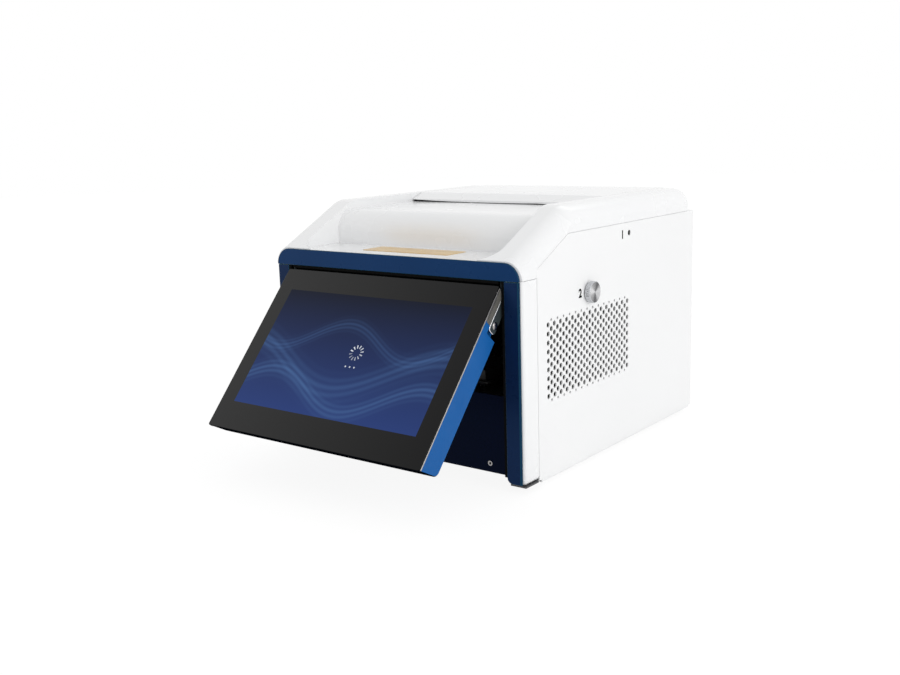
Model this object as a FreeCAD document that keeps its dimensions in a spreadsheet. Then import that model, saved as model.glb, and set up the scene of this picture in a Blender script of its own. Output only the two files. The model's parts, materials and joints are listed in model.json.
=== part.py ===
# A bench-top nucleic acid extractor with a touch-screen door that lifts on two chromed arms.
# Drawn in millimetres from three datums: the middle of the case, the front face of the blue frame
# and the lower edge of the side panels. Behind the door a tray carries two heated blocks under a
# head of magnet rods and a head of sleeves, each raised and lowered by its own lead screw.
import FreeCAD, Part
import math
import os
import Sketcher
from types import SimpleNamespace

doc = FreeCAD.newDocument("NucleicAcidExtractor")
sheet = doc.addObject("Spreadsheet::Sheet", "Sizes")

driving = {
    # where the datums lie from the middle of the whole footprint, with the door open
    "middleX": -4.0,
    "frontY": -128.425,
    "lift": 9.0,
    # case
    "frameWidth": 340.0,
    "caseWidth": 346.8,
    "caseDepth": 391.6,
    "coverTop": 280.5,
    "coverFoot": 213.2,
    "coverWall": 4.0,
    "frameTop": 230.9,
    "slopeRise": 0.51,
    "slopeRun": 97.25,
    "ridgeRound": 30.0,
    "rearRound": 22.0,
    "shoulderRound": 20.0,
    "seam": 0.4,
    "metal": 1.5,
    # blue frame
    "topBarFoot": 212.2,
    "sideBarTop": 211.8,
    "sideBarFoot": 1.4,
    "barWidth": 17.9,
    "barThick": 2.5,
    "barRound": 6.0,
    # columns and side panels
    "columnWidth": 20.8,
    "columnBack": 27.6,
    "columnTop": 212.8,
    "columnRound": 7.0,
    "columnEdge": 3.2,
    "panelFront": 28.3,
    "panelNose": 221.9,
    "panelTop": 252.2,
    "panelSlopeEnd": 88.8,
    "ledge": 14.0,
    # hollow and valley in the cover, and the lid behind them
    "hollowHalf": 137.0,
    "hollowFront": 2.0,
    "hollowBack": 71.0,
    "hollowRound": 24.0,
    "valleyFloor": 270.0,
    "lidFront": 213.0,
    "lidBack": 384.6,
    "lidGap": 0.8,
    "lidSlot": 3.2,
    "lidBevel": 19.4,
    "lidLedge": 268.0,
    "lidWall": 4.0,
    # ventilation holes, staggered
    "ventY": 48.2,
    "ventZ": 86.3,
    "ventPitchY": 12.16,
    "ventPitchZ": 9.475,
    "ventHole": 3.1,
    "ventSmall": 1.7,
    # thumb screw and lock hole on the right side
    "knobY": 131.5,
    "knobZ": 185.0,
    "knobRadius": 11.8,
    "knobHeight": 7.7,
    "knobShank": 3.0,
    "lockY": 222.4,
    "lockZ": 240.2,
    "lockRadius": 3.25,
    # door, drawn closed about its pivot and then swung open
    "openAngle": 41.3,
    "pivotY": 6.5,
    "pivotZ": 211.0,
    "glassFront": -4.63,
    "glassTop": -8.2,
    "doorHalf": 148.4,
    "doorLength": 205.7,
    "doorDepth": 30.6,
    "doorRise": 6.3,
    "doorRound": 7.0,
    "glassThick": 2.0,
    "glassRound": 2.0,
    "trimThick": 1.6,
    "shellInset": 0.5,
    "shellWall": 3.0,
    "notchHalf": 140.0,
    "notchRound": 11.0,
    "screenHalf": 131.0,
    "screenTop": 23.1,
    "screenHeight": 154.0,
    "screenThick": 3.0,
    "armOuter": 147.2,
    "armThick": 1.8,
    "armEnd": 9.6,
    "armBoss": 3.0,
    "boltBack": 11.77,
    "boltDrop": -45.2,
    "boltHead": 4.8,
    "boltDome": 1.5,
    "boltShank": 3.0,
    "pinRadius": 1.5,
    "pinEnd": 158.0,
    "bushRadius": 4.0,
    "play": 0.06,
    # chamber
    "deckTop": 83.0,
    "deckThick": 2.0,
    "linerWall": 1.6,
    "linerFront": 9.5,
    "linerStep": 77.6,
    "linerBack": 252.1,
    "linerHigh": 262.0,
    "linerRun": 107.0,
    "linerDrop": 12.5,
    "linerLow": 225.0,
    "lowPanelFront": 33.6,
    "lowPanelFoot": -4.0,
    "lowPanelHalf": 165.0,
    "screwX": 107.0,
    "screwZ": 6.1,
    "screwHead": 0.7,
    # tray
    "trayHalf": 94.0,
    "trayFront": 50.0,
    "trayBack": 184.0,
    "trayFoot": 88.3,
    "trayThick": 3.0,
    "railX": 80.0,
    "railHalf": 3.0,
    "railHigh": 5.0,
    "blockNear": 3.0,
    "blockFar": 89.0,
    "blockHigh": 12.0,
    "wellRadius": 3.9,
    # magnet rods, sleeves and their drive
    "combX": 46.0,
    "combY": 130.0,
    "tipPitch": 9.0,
    "rodRadius": 2.5,
    "rodFoot": 206.0,
    "sleeveInner": 3.2,
    "sleeveOuter": 4.2,
    "sleeveFoot": 152.0,
    "rodHead": 246.0,
    "sleeveHead": 199.0,
    "headThick": 5.0,
    "guideX": 132.0,
    "driveX": 112.0,
    "driveY": 222.0,
    "guideRadius": 5.0,
    "leadRadius": 4.0,
    "driveTop": 258.0,
    # rear
    "fanX": -95.0,
    "fanZ": 165.0,
    "fanHalf": 40.0,
    "fanBore": 38.0,
    "fanDepth": 25.0,
    "inletX": 118.0,
    "inletZ": 60.0,
    "rockerDepth": 4.0,
    "rockerHalf": 8.4,
    "rockerBarrel": 4.0,
    "rockerPin": 1.2,
    "usbX": 60.0,
    "footX": 120.0,
    "footFront": 55.0,
    "footBack": 355.0,
    "footRadius": 10.0,
}

for row, (alias, value) in enumerate(driving.items(), start=1):
    sheet.set(f"A{row}", alias)
    sheet.set(f"B{row}", str(value))
    sheet.setAlias(f"B{row}", alias)
doc.recompute()


class Size:
    """A length that carries both its value and its formula in the sheet."""

    def __init__(self, value, formula):
        self.value = value
        self.formula = formula

    def __add__(self, other):
        return Size(self.value + number(other), f"({self.formula} + {text(other)})")

    def __radd__(self, other):
        return Size(number(other) + self.value, f"({text(other)} + {self.formula})")

    def __sub__(self, other):
        return Size(self.value - number(other), f"({self.formula} - {text(other)})")

    def __rsub__(self, other):
        return Size(number(other) - self.value, f"({text(other)} - {self.formula})")

    def __mul__(self, other):
        return Size(self.value * number(other), f"({self.formula} * {text(other)})")

    def __rmul__(self, other):
        return self * other

    def __truediv__(self, other):
        return Size(self.value / number(other), f"({self.formula} / {text(other)})")

    def __neg__(self):
        return Size(-self.value, f"(0 - {self.formula})")


def number(size):
    return size.value if isinstance(size, Size) else float(size)


def text(size):
    return size.formula if isinstance(size, Size) else f"({float(size)})"


s = SimpleNamespace(**{alias: Size(value, f"Sizes.{alias}") for alias, value in driving.items()})


class Circle:
    def __init__(self, x, y, radius):
        self.x = x
        self.y = y
        self.radius = radius


class Arc:
    """A corner of an outline that is reached by an arc; side is 1 for a left turn, -1 for a right one."""

    def __init__(self, x, y, radius, side):
        self.x = x
        self.y = y
        self.radius = radius
        self.side = side


nodes = []


def bind(thing, path, size):
    if isinstance(size, Size):
        thing.setExpression(path, size.formula)


def new_body(label, on_door=False):
    """An empty piece. One on the door is drawn about the pivot and swung to the open angle."""
    body = doc.addObject("PartDesign::Body", label)
    body.Label = label
    spots = {"x": s.middleX, "y": s.frontY, "z": s.lift}
    if on_door:
        spots["y"] = s.frontY + s.pivotY
        spots["z"] = s.lift + s.pivotZ
        body.Placement.Rotation = FreeCAD.Rotation(FreeCAD.Vector(1, 0, 0), -s.openAngle.value)
    body.Placement.Base = FreeCAD.Vector(*(spots[axis].value for axis in "xyz"))
    for axis in "xyz":
        body.setExpression(f"Placement.Base.{axis}", spots[axis].formula)
    if on_door:
        body.setExpression("Placement.Rotation.Axis.x", "1")
        body.setExpression("Placement.Rotation.Axis.y", "0")
        body.setExpression("Placement.Rotation.Axis.z", "0")
        body.setExpression("Placement.Rotation.Angle", "0 - Sizes.openAngle")
    nodes.append(body)
    return body


def new_sketch(body, role, offset):
    sketch = body.newObject("Sketcher::SketchObject", "Outline")
    plane = [item for item in body.Origin.OriginFeatures if item.Role == role][0]
    sketch.AttachmentSupport = [(plane, "")]
    sketch.MapMode = "FlatFace"
    along = 0 - offset if role == "XZ_Plane" else offset
    sketch.AttachmentOffset.Base = FreeCAD.Vector(0, 0, number(along))
    bind(sketch, "AttachmentOffset.Base.z", along)
    return sketch


def hold(sketch, geometry, end, x, y):
    for kind, size in (("DistanceX", x), ("DistanceY", y)):
        index = sketch.addConstraint(Sketcher.Constraint(kind, -1, 1, geometry, end, number(size)))
        bind(sketch, f"Constraints[{index}]", size)


def hold_radius(sketch, geometry, radius):
    index = sketch.addConstraint(Sketcher.Constraint("Radius", geometry, number(radius)))
    bind(sketch, f"Constraints[{index}]", radius)


def draw_circle(sketch, loop):
    centre = FreeCAD.Vector(number(loop.x), number(loop.y), 0)
    round_line = Part.Circle(centre, FreeCAD.Vector(0, 0, 1), number(loop.radius))
    geometry = sketch.addGeometry(round_line, False)
    hold(sketch, geometry, 3, loop.x, loop.y)
    hold_radius(sketch, geometry, loop.radius)


def draw_outline(sketch, corners):
    """A closed outline of straight lines and arcs, every corner held at its place."""
    places = []
    for corner in corners:
        places.append((corner.x, corner.y) if isinstance(corner, Arc) else corner)
    pieces = []
    for i, (x, y) in enumerate(places):
        corner = corners[(i + 1) % len(corners)]
        start = FreeCAD.Vector(number(x), number(y), 0)
        x, y = places[(i + 1) % len(places)]
        target = FreeCAD.Vector(number(x), number(y), 0)
        if isinstance(corner, Arc):
            radius = number(corner.radius)
            chord = target - start
            leftward = FreeCAD.Vector(-chord.y, chord.x, 0).normalize() * corner.side
            reach = math.sqrt(max(radius ** 2 - (chord.Length / 2) ** 2, 0.0))
            centre = (start + target) * 0.5 + leftward * reach
            first, last = (start, target) if corner.side > 0 else (target, start)
            low = math.atan2(first.y - centre.y, first.x - centre.x)
            high = math.atan2(last.y - centre.y, last.x - centre.x)
            high += 2 * math.pi if high < low else 0.0
            ring = Part.Circle(centre, FreeCAD.Vector(0, 0, 1), radius)
            geometry = sketch.addGeometry(Part.ArcOfCircle(ring, low, high), False)
            pieces.append((geometry, 1, 2) if corner.side > 0 else (geometry, 2, 1))
        else:
            geometry = sketch.addGeometry(Part.LineSegment(start, target), False)
            pieces.append((geometry, 1, 2))
    for i, (geometry, start, end) in enumerate(pieces):
        following = pieces[(i + 1) % len(pieces)]
        sketch.addConstraint(Sketcher.Constraint("Coincident", geometry, end, following[0], following[1]))
        hold(sketch, geometry, start, *places[i])
    for i, corner in enumerate(corners):
        if isinstance(corner, Arc):
            hold_radius(sketch, pieces[i - 1][0], corner.radius)


def shape_sketch(body, role, offset, loops):
    sketch = new_sketch(body, role, offset)
    for loop in loops:
        if isinstance(loop, Circle):
            draw_circle(sketch, loop)
        else:
            draw_outline(sketch, loop)
    return sketch


def pad(body, role, low, high, *loops):
    """Adds material between two heights over a plane: "YZ_Plane" runs along X, and so on."""
    sketch = shape_sketch(body, role, high if role == "XZ_Plane" else low, loops)
    feature = body.newObject("PartDesign::Pad", "Pad")
    feature.Profile = (sketch, [""])
    feature.Length = number(high) - number(low)
    bind(feature, "Length", high - low)
    sketch.Visibility = False
    body.Tip = feature
    return feature


def cut(body, role, low, high, *loops):
    """Takes material away between two heights over a plane."""
    sketch = shape_sketch(body, role, low if role == "XZ_Plane" else high, loops)
    feature = body.newObject("PartDesign::Pocket", "Cut")
    feature.Profile = (sketch, [""])
    feature.Type = "Length"
    feature.Length = number(high) - number(low)
    bind(feature, "Length", high - low)
    sketch.Visibility = False
    body.Tip = feature
    return feature


def round_edges(body, radius, wanted, kind="Fillet"):
    """Rounds or bevels the edges whose middle and direction pass the test."""
    doc.recompute()
    base = body.Tip
    names = []
    for i, edge in enumerate(base.Shape.Edges, start=1):
        run = edge.Vertexes[-1].Point - edge.Vertexes[0].Point
        if wanted(edge.CenterOfMass, run):
            names.append(f"Edge{i}")
    if not names:
        raise ValueError(f"{body.Label}: no edge to round")
    feature = body.newObject(f"PartDesign::{kind}", kind)
    feature.Base = (base, names)
    path = "Radius" if kind == "Fillet" else "Size"
    setattr(feature, path, number(radius))
    bind(feature, path, radius)
    body.Tip = feature
    return feature


def near(value, size, slack=0.3):
    return abs(value - number(size)) < slack


def along(run, axis):
    """True for an edge that runs along one axis."""
    rest = [abs(part) for name, part in zip("xyz", run) if name != axis]
    return max(rest) < 0.01 and abs(getattr(run, axis)) > 0.5


def box(left, right, low, high):
    return [(left, low), (right, low), (right, high), (left, high)]


def soft_box(left, right, low, high, radius):
    return [
        Arc(left + radius, low, radius, 1),
        (right - radius, low),
        Arc(right, low + radius, radius, 1),
        (right, high - radius),
        Arc(right - radius, high, radius, 1),
        (left + radius, high),
        Arc(left, high - radius, radius, 1),
        (left, low + radius),
    ]


def span(sign, inner, outer):
    """The low and high X of a piece on one side of the middle."""
    return (inner, outer) if sign > 0 else (0 - outer, 0 - inner)


sides = (("left", -1), ("right", 1))
zero = 0.0
caseHalf = s.caseWidth / 2
frameHalf = s.frameWidth / 2

# the white cover: a sloped front with a hollow, a valley and a flat rear
cover = new_body("top_cover")
coverFront = s.barThick
slopeFront = s.frameTop + s.slopeRise * coverFront
pad(cover, "YZ_Plane", 0 - caseHalf, caseHalf, [
    (coverFront, s.coverFoot - s.rearRound),
    (s.caseDepth, s.coverFoot - s.rearRound),
    (s.caseDepth, s.coverTop),
    (s.slopeRun, s.coverTop),
    (coverFront, slopeFront),
])
round_edges(cover, s.ridgeRound, lambda m, run: along(run, "x") and near(m.y, s.slopeRun))
round_edges(cover, s.rearRound, lambda m, run: along(run, "x") and near(m.y, s.caseDepth) and near(m.z, s.coverTop))
round_edges(cover, s.shoulderRound, lambda m, run: (
    near(abs(m.x), caseHalf) and m.z > s.frameTop.value and not along(run, "z")))
coverLow = s.coverFoot - 40.0
cavityHalf = caseHalf - 16.0
cut(cover, "YZ_Plane", 0 - caseHalf, caseHalf, box(zero, s.caseDepth, coverLow, s.coverFoot))
for side, sign in sides:
    low, high = span(sign, cavityHalf, caseHalf)
    cut(cover, "YZ_Plane", low, high, [
        (s.panelFront, coverLow),
        (s.caseDepth, coverLow),
        (s.caseDepth, s.panelTop + s.seam),
        (s.panelSlopeEnd, s.panelTop + s.seam),
        (s.panelFront, s.panelNose + s.seam),
    ])
hollowSide = s.hollowHalf
hollowStart = s.hollowFront + s.hollowRound
cut(cover, "XY_Plane", s.frameTop, s.coverTop + 5.0, [
    (0 - hollowSide, hollowStart),
    Arc(s.hollowRound - hollowSide, s.hollowFront, s.hollowRound, 1),
    (hollowSide - s.hollowRound, s.hollowFront),
    Arc(hollowSide, hollowStart, s.hollowRound, 1),
    (hollowSide, s.hollowBack),
    (0 - hollowSide, s.hollowBack),
])
cut(cover, "YZ_Plane", 0 - hollowSide, hollowSide, [
    (s.hollowBack, s.valleyFloor - s.hollowRound),
    Arc(s.hollowBack + s.hollowRound, s.valleyFloor, s.hollowRound, -1),
    (s.lidFront, s.valleyFloor),
    (s.lidFront, s.lidLedge),
    (s.lidBack, s.lidLedge),
    (s.lidBack, s.coverTop + 5.0),
    (s.hollowBack, s.coverTop + 5.0),
])
frontCavityBack = s.hollowBack + s.coverWall
innerHalf = caseHalf - s.coverWall
cut(cover, "YZ_Plane", 0 - cavityHalf, cavityHalf, [
    (coverFront + s.coverWall, s.coverFoot - 5.0),
    (frontCavityBack + 1.0, s.coverFoot - 5.0),
    (frontCavityBack + 1.0, s.frameTop - s.coverWall),
    (coverFront + s.coverWall, s.frameTop - s.coverWall),
])
cut(cover, "YZ_Plane", 0 - innerHalf - 0.4, innerHalf + 0.4, [
    (frontCavityBack, s.coverFoot - 5.0),
    (s.caseDepth - s.coverWall - 1.5, s.coverFoot - 5.0),
    (s.caseDepth - s.coverWall - 1.5, s.lidLedge - s.coverWall),
    (s.slopeRun + 8.0, s.lidLedge - s.coverWall),
    (frontCavityBack, s.coverTop - 28.0),
])
cut(cover, "YZ_Plane", 0 - cavityHalf, cavityHalf,
    box(s.caseDepth - s.coverWall - 2.0, s.caseDepth, coverLow, s.panelTop + s.seam))
cut(cover, "XY_Plane", s.lidLedge - 10.0, s.valleyFloor + 1.0,
    box(7.0 - hollowSide, hollowSide - 7.0, s.lidFront + 1.5, s.lidBack - 5.0))

for side, sign in sides:
    low, high = span(sign, s.armOuter - s.armThick - 1.0, s.pinEnd + 0.5)
    cut(cover, "YZ_Plane", low, high, box(coverFront, s.pivotY + s.bushRadius, s.coverFoot, s.pivotZ + s.bushRadius + 0.6))

# the lid behind the valley, raised on a black slot at its front
lid = new_body("top_lid")
lidHalf = s.hollowHalf - s.lidGap
lidSkirt = s.lidFront + 9.0
pad(lid, "YZ_Plane", 0 - lidHalf, lidHalf, [
    (s.lidFront, s.valleyFloor + s.lidSlot),
    (lidSkirt, s.valleyFloor + s.lidSlot),
    (lidSkirt, s.lidLedge),
    (s.lidBack - s.lidGap, s.lidLedge),
    (s.lidBack - s.lidGap, s.coverTop),
    (s.lidFront + s.lidBevel, s.coverTop),
])
cut(lid, "YZ_Plane", s.lidWall - lidHalf, lidHalf - s.lidWall, [
    (s.lidFront + 7.0, s.lidLedge - 1.0),
    (s.lidBack - s.lidGap - s.lidWall, s.lidLedge - 1.0),
    (s.lidBack - s.lidGap - s.lidWall, s.coverTop - s.lidWall),
    (s.lidFront + s.lidBevel + 1.0, s.coverTop - s.lidWall),
    (s.lidFront + 7.0, s.valleyFloor + s.lidSlot + 0.3),
])
round_edges(lid, 6.0, lambda m, run: along(run, "x") and near(m.z, s.coverTop) and m.y < 250)

# the blue frame
bar = new_body("bezel_top")
barHigh = s.frameTop - s.topBarFoot
pad(bar, "XZ_Plane", zero, s.barThick, [
    Arc(0 - frameHalf, s.topBarFoot, barHigh, 1),
    (frameHalf, s.topBarFoot),
    Arc(frameHalf - barHigh, s.frameTop, barHigh, 1),
    (barHigh - frameHalf, s.frameTop),
])
for side, sign in sides:
    bar = new_body(f"bezel_{side}")
    low, high = span(sign, frameHalf - s.barWidth, frameHalf)
    pad(bar, "XZ_Plane", zero, s.barThick, box(low, high, s.sideBarFoot, s.sideBarTop))
    round_edges(bar, s.barRound, lambda m, run: (
        along(run, "y") and near(m.z, s.sideBarFoot) and near(abs(m.x), frameHalf - s.barWidth)))
    round_edges(bar, 1.2, lambda m, run: (
        along(run, "z") and near(m.y, 0) and near(abs(m.x), frameHalf)), "Chamfer")

# front columns with a bore for the hinge bush, and the side panels behind them
for side, sign in sides:
    column = new_body(f"column_{side}")
    low, high = span(sign, caseHalf - s.columnWidth, caseHalf)
    pad(column, "XY_Plane", zero, s.columnTop, box(low, high, s.barThick, s.columnBack))
    round_edges(column, s.columnEdge, lambda m, run: (
        along(run, "z") and near(m.y, s.barThick) and near(abs(m.x), caseHalf)))
    round_edges(column, s.columnRound, lambda m, run: (
        along(run, "x") and near(m.y, s.barThick) and near(m.z, 0)))
    low, high = span(sign, caseHalf - s.columnWidth + 2.0, caseHalf - 4.0)
    pad(column, "XY_Plane", s.columnTop, s.coverFoot, box(low, high, s.barThick + 2.0, s.columnBack - 2.0))
    low, high = span(sign, caseHalf - s.columnWidth - 1.0, s.pinEnd + 0.5)
    cut(column, "YZ_Plane", low, high, [Circle(s.pivotY, s.pivotZ, s.bushRadius)][0])

panelInner = caseHalf - s.metal
vent_rows = 9
vent_columns = 15
for side, sign in sides:
    panel = new_body(f"side_panel_{side}")
    low, high = span(sign, panelInner, caseHalf)
    pad(panel, "YZ_Plane", low, high, [
        (s.panelFront, zero),
        (s.caseDepth, zero),
        (s.caseDepth, s.panelTop),
        (s.panelSlopeEnd, s.panelTop),
        (s.panelFront, s.panelNose),
    ])
    low, high = span(sign, panelInner - s.metal, panelInner)
    pad(panel, "YZ_Plane", low, high, [
        (s.columnBack, s.ledge),
        (s.caseDepth - s.metal, s.ledge),
        (s.caseDepth - s.metal, s.panelTop + s.seam),
        (s.panelSlopeEnd, s.panelTop + s.seam),
        (s.panelFront, s.panelNose + s.seam),
        (s.panelFront, s.coverFoot),
        (s.columnBack, s.coverFoot),
    ], [
        (s.columnBack + s.ledge, s.ledge * 2),
        (s.caseDepth - s.ledge, s.ledge * 2),
        (s.caseDepth - s.ledge, s.panelTop - s.ledge),
        (s.panelSlopeEnd, s.panelTop - s.ledge),
        (s.columnBack + s.ledge, s.panelNose - s.ledge),
    ])
    if side == "left":
        continue
    cut(panel, "YZ_Plane", panelInner - 5.0, caseHalf + 1.0,
        Circle(s.knobY, s.knobZ, s.knobShank + s.play), Circle(s.lockY, s.lockZ, s.lockRadius))
    fields = (
        ("VentsFull", s.ventY, s.ventZ, s.ventHole, vent_columns, vent_rows),
        ("VentsBetween", s.ventY + s.ventPitchY / 2, s.ventZ + s.ventPitchZ / 2, s.ventHole,
         vent_columns - 1, vent_rows - 1),
        ("VentsSmall", s.ventY + s.ventPitchY / 2, s.ventZ - s.ventPitchZ / 2, s.ventSmall, vent_columns - 1, 2),
    )
    for name, y, z, radius, columns, rows in fields:
        corners = []
        for k in range(6):
            turn_by = math.radians(60 * k)
            corners.append((y + radius * math.sin(turn_by), z + radius * math.cos(turn_by)))
        hole = cut(panel, "YZ_Plane", panelInner - 1.0, caseHalf + 1.0, corners)
        field = panel.newObject("PartDesign::MultiTransform", name)
        field.Originals = [hole]
        steps = []
        rise = s.ventPitchZ * (vent_rows if rows == 2 else rows - 1)
        for axis, length, count in (("H_Axis", s.ventPitchY * (columns - 1), columns), ("V_Axis", rise, rows)):
            step = doc.addObject("PartDesign::LinearPattern", name + axis[0])
            step.Direction = (hole.Profile[0], [axis])
            step.Length = length.value
            step.setExpression("Length", length.formula)
            step.Occurrences = count
            panel.addObject(step)
            steps.append(step)
        field.Transformations = steps
        panel.Tip = field
        doc.recompute()

# rear panel, base tray and the blue panel under the door
rear = new_body("rear_panel")
rearFront = s.caseDepth - s.metal
pad(rear, "XZ_Plane", rearFront, s.caseDepth, box(0 - panelInner, panelInner, zero, s.panelTop))
cut(rear, "XZ_Plane", rearFront - 1.0, s.caseDepth + 1.0,
    Circle(s.fanX, s.fanZ, s.fanBore),
    box(s.inletX - 24.0, s.inletX + 24.0, s.inletZ - 29.0, s.inletZ + 29.0),
    box(s.usbX - 6.6, s.usbX + 6.6, s.inletZ - 3.0, s.inletZ + 3.0))

tray = new_body("base_tray")
lowBack = s.lowPanelFront + s.metal
pad(tray, "XZ_Plane", lowBack, rearFront, [
    (0 - panelInner, s.lowPanelFoot),
    (panelInner, s.lowPanelFoot),
    (panelInner, s.ledge - 1.0),
    (panelInner - s.metal, s.ledge - 1.0),
    (panelInner - s.metal, s.lowPanelFoot + s.metal),
    (s.metal - panelInner, s.lowPanelFoot + s.metal),
    (s.metal - panelInner, s.ledge - 1.0),
    (0 - panelInner, s.ledge - 1.0),
])

front = new_body("lower_front_panel")
pad(front, "XZ_Plane", s.lowPanelFront, lowBack,
    box(0 - s.lowPanelHalf, s.lowPanelHalf, s.lowPanelFoot, s.deckTop))
cut(front, "XZ_Plane", s.lowPanelFront - 1.0, lowBack + 1.0,
    Circle(s.screwX, s.screwZ, 1.6), Circle(0 - s.screwX, s.screwZ, 1.6))
for side, sign in sides:
    screw = new_body(f"panel_screw_{side}")
    screwFace = s.lowPanelFront - s.screwHead
    pad(screw, "XZ_Plane", screwFace, s.lowPanelFront, Circle(s.screwX * sign, s.screwZ, 2.9))
    round_edges(screw, 0.4, lambda m, run: near(m.y, screwFace, 0.1))
    pad(screw, "XZ_Plane", s.lowPanelFront, s.lowPanelFront + 8.0, Circle(s.screwX * sign, s.screwZ, 1.5))
    cut(screw, "XZ_Plane", screwFace - 0.5, screwFace + 0.4,
        box(s.screwX * sign - 1.6, s.screwX * sign + 1.6, s.screwZ - 0.3, s.screwZ + 0.3))

# the black chamber
linerHalf = caseHalf - s.columnWidth
liner = new_body("chamber_liner")
pad(liner, "YZ_Plane", 0 - linerHalf, linerHalf, [
    (s.linerFront, s.deckTop - s.deckThick),
    (s.linerBack, s.deckTop - s.deckThick),
    (s.linerBack, s.linerHigh + s.linerWall),
    (s.linerRun, s.linerHigh + s.linerWall),
    (s.linerStep - s.linerWall, s.linerHigh - s.linerDrop),
    (s.linerStep - s.linerWall, s.linerLow + s.linerWall),
    (s.columnBack + s.seam, s.linerLow + s.linerWall),
    (s.columnBack + s.seam, s.pivotZ - 2.0),
    (s.linerFront, s.pivotZ - 2.0),
])
inner = linerHalf - s.linerWall
cut(liner, "YZ_Plane", 0 - inner, inner, [
    (s.linerFront - 1.0, s.deckTop),
    (s.linerBack - s.linerWall, s.deckTop),
    (s.linerBack - s.linerWall, s.linerHigh),
    (s.linerRun, s.linerHigh),
    (s.linerStep, s.linerHigh - s.linerDrop - s.linerWall),
    (s.linerStep, s.linerLow),
    (s.columnBack + s.seam + s.linerWall, s.linerLow),
    (s.columnBack + s.seam + s.linerWall, s.pivotZ - 1.0),
    (s.linerFront - 1.0, s.pivotZ - 1.0),
])
cut(liner, "XY_Plane", s.deckTop - s.deckThick - 1.0, s.deckTop + 1.0,
    box(0 - linerHalf - 1.0, linerHalf + 1.0, s.linerFront - 1.0, lowBack))
cut(liner, "XY_Plane", s.deckTop - s.deckThick - 1.0, s.deckTop + 1.0,
    Circle(s.driveX, s.driveY, s.leadRadius + 0.4), Circle(0 - s.driveX, s.driveY, s.leadRadius + 0.4))

seal = new_body("door_seal")
sealInner = s.doorHalf + 0.6
sealOuter = frameHalf - s.barWidth
sealTop = s.topBarFoot
pad(seal, "XZ_Plane", 0.5, 4.5, [
    (0 - sealOuter, s.sideBarFoot + s.barRound),
    (0 - sealInner, s.sideBarFoot + s.barRound),
    (0 - sealInner, sealTop - 3.0),
    (sealInner, sealTop - 3.0),
    (sealInner, s.sideBarFoot + s.barRound),
    (sealOuter, s.sideBarFoot + s.barRound),
    (sealOuter, sealTop),
    (0 - sealOuter, sealTop),
])
pad(seal, "YZ_Plane", 2.6 - s.armOuter, s.armOuter - 2.6, [
    (coverFront + 1.0, sealTop - 3.0),
    (s.pivotY + 3.0, s.pivotZ - 7.2),
    (s.columnBack + s.seam, s.pivotZ - 7.2),
    (s.columnBack + s.seam, s.coverFoot),
    (coverFront + 1.0, s.coverFoot),
])
for side, sign in sides:
    low, high = span(sign, s.armOuter - s.armThick - 0.5, s.doorHalf)
    cut(seal, "YZ_Plane", low, high, box(zero, 6.0, sealTop - 4.0, s.coverFoot + 1.0))

# hinge bushes, tray rails and guide rods
for side, sign in sides:
    bush = new_body(f"hinge_bush_{side}")
    low, high = span(sign, linerHalf, s.pinEnd)
    pad(bush, "YZ_Plane", low, high, Circle(s.pivotY, s.pivotZ, s.bushRadius),
        Circle(s.pivotY, s.pivotZ, s.pinRadius + s.play))
for side, sign in sides:
    rail = new_body(f"tray_rail_{side}")
    low, high = span(sign, s.railX - s.railHalf, s.railX + s.railHalf)
    pad(rail, "XY_Plane", s.deckTop, s.deckTop + s.railHigh, box(low, high, lowBack + 2.0, s.linerBack - 5.0))
    round_edges(rail, 0.8, lambda m, run: (
        along(run, "y") and near(m.z, s.deckTop + s.railHigh)), "Chamfer")
for side, sign in sides:
    rod = new_body(f"guide_rod_{side}")
    pad(rod, "XY_Plane", s.deckTop, s.driveTop, Circle(s.guideX * sign, s.driveY, s.guideRadius))

plate = new_body("drive_top_plate")
pad(plate, "XY_Plane", s.driveTop, s.linerHigh,
    soft_box(0 - s.guideX - 11.0, s.guideX + 11.0, s.driveY - 15.0, s.driveY + 15.0, 6.0))

drives = (("rods", -1), ("sleeves", 1))
for name, sign in drives:
    motor = new_body(f"motor_{name}")
    x = s.driveX * sign
    pad(motor, "XY_Plane", s.deckTop - 45.0, s.deckTop - s.deckThick - 3.0,
        soft_box(x - 21.0, x + 21.0, s.driveY - 21.0, s.driveY + 21.0, 4.5))
    pad(motor, "XY_Plane", s.deckTop - s.deckThick - 3.0, s.deckTop - s.deckThick,
        Circle(x, s.driveY, 11.0), Circle(x, s.driveY, s.leadRadius + 0.4))

lamp = new_body("uv_lamp")
lampY = s.linerStep + 9.0
lampZ = s.linerHigh - 26.0
pad(lamp, "YZ_Plane", -70.0, 70.0, Circle(lampY, lampZ, 7.0))
for low, high in ((-78.0, -70.0), (70.0, 78.0)):
    pad(lamp, "YZ_Plane", low, high, box(s.linerStep, lampY + 8.0, lampZ - 8.0, lampZ + 8.0))

# rear fittings: fan, power inlet with its switch, data port, supply and board
frame = new_body("fan_frame")
fanFront = rearFront - s.fanDepth
pad(frame, "XZ_Plane", fanFront, rearFront,
    soft_box(s.fanX - s.fanHalf, s.fanX + s.fanHalf, s.fanZ - s.fanHalf, s.fanZ + s.fanHalf, 4.0),
    Circle(s.fanX, s.fanZ, s.fanBore))
pad(frame, "XZ_Plane", fanFront, fanFront + 3.0,
    box(s.fanX - s.fanBore - 1.0, s.fanX + s.fanBore + 1.0, s.fanZ - 2.0, s.fanZ + 2.0))
pad(frame, "XZ_Plane", fanFront, fanFront + 3.0, Circle(s.fanX, s.fanZ, 15.0))
pad(frame, "XZ_Plane", fanFront + 3.0, fanFront + 16.0, Circle(s.fanX, s.fanZ, 3.0))

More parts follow.
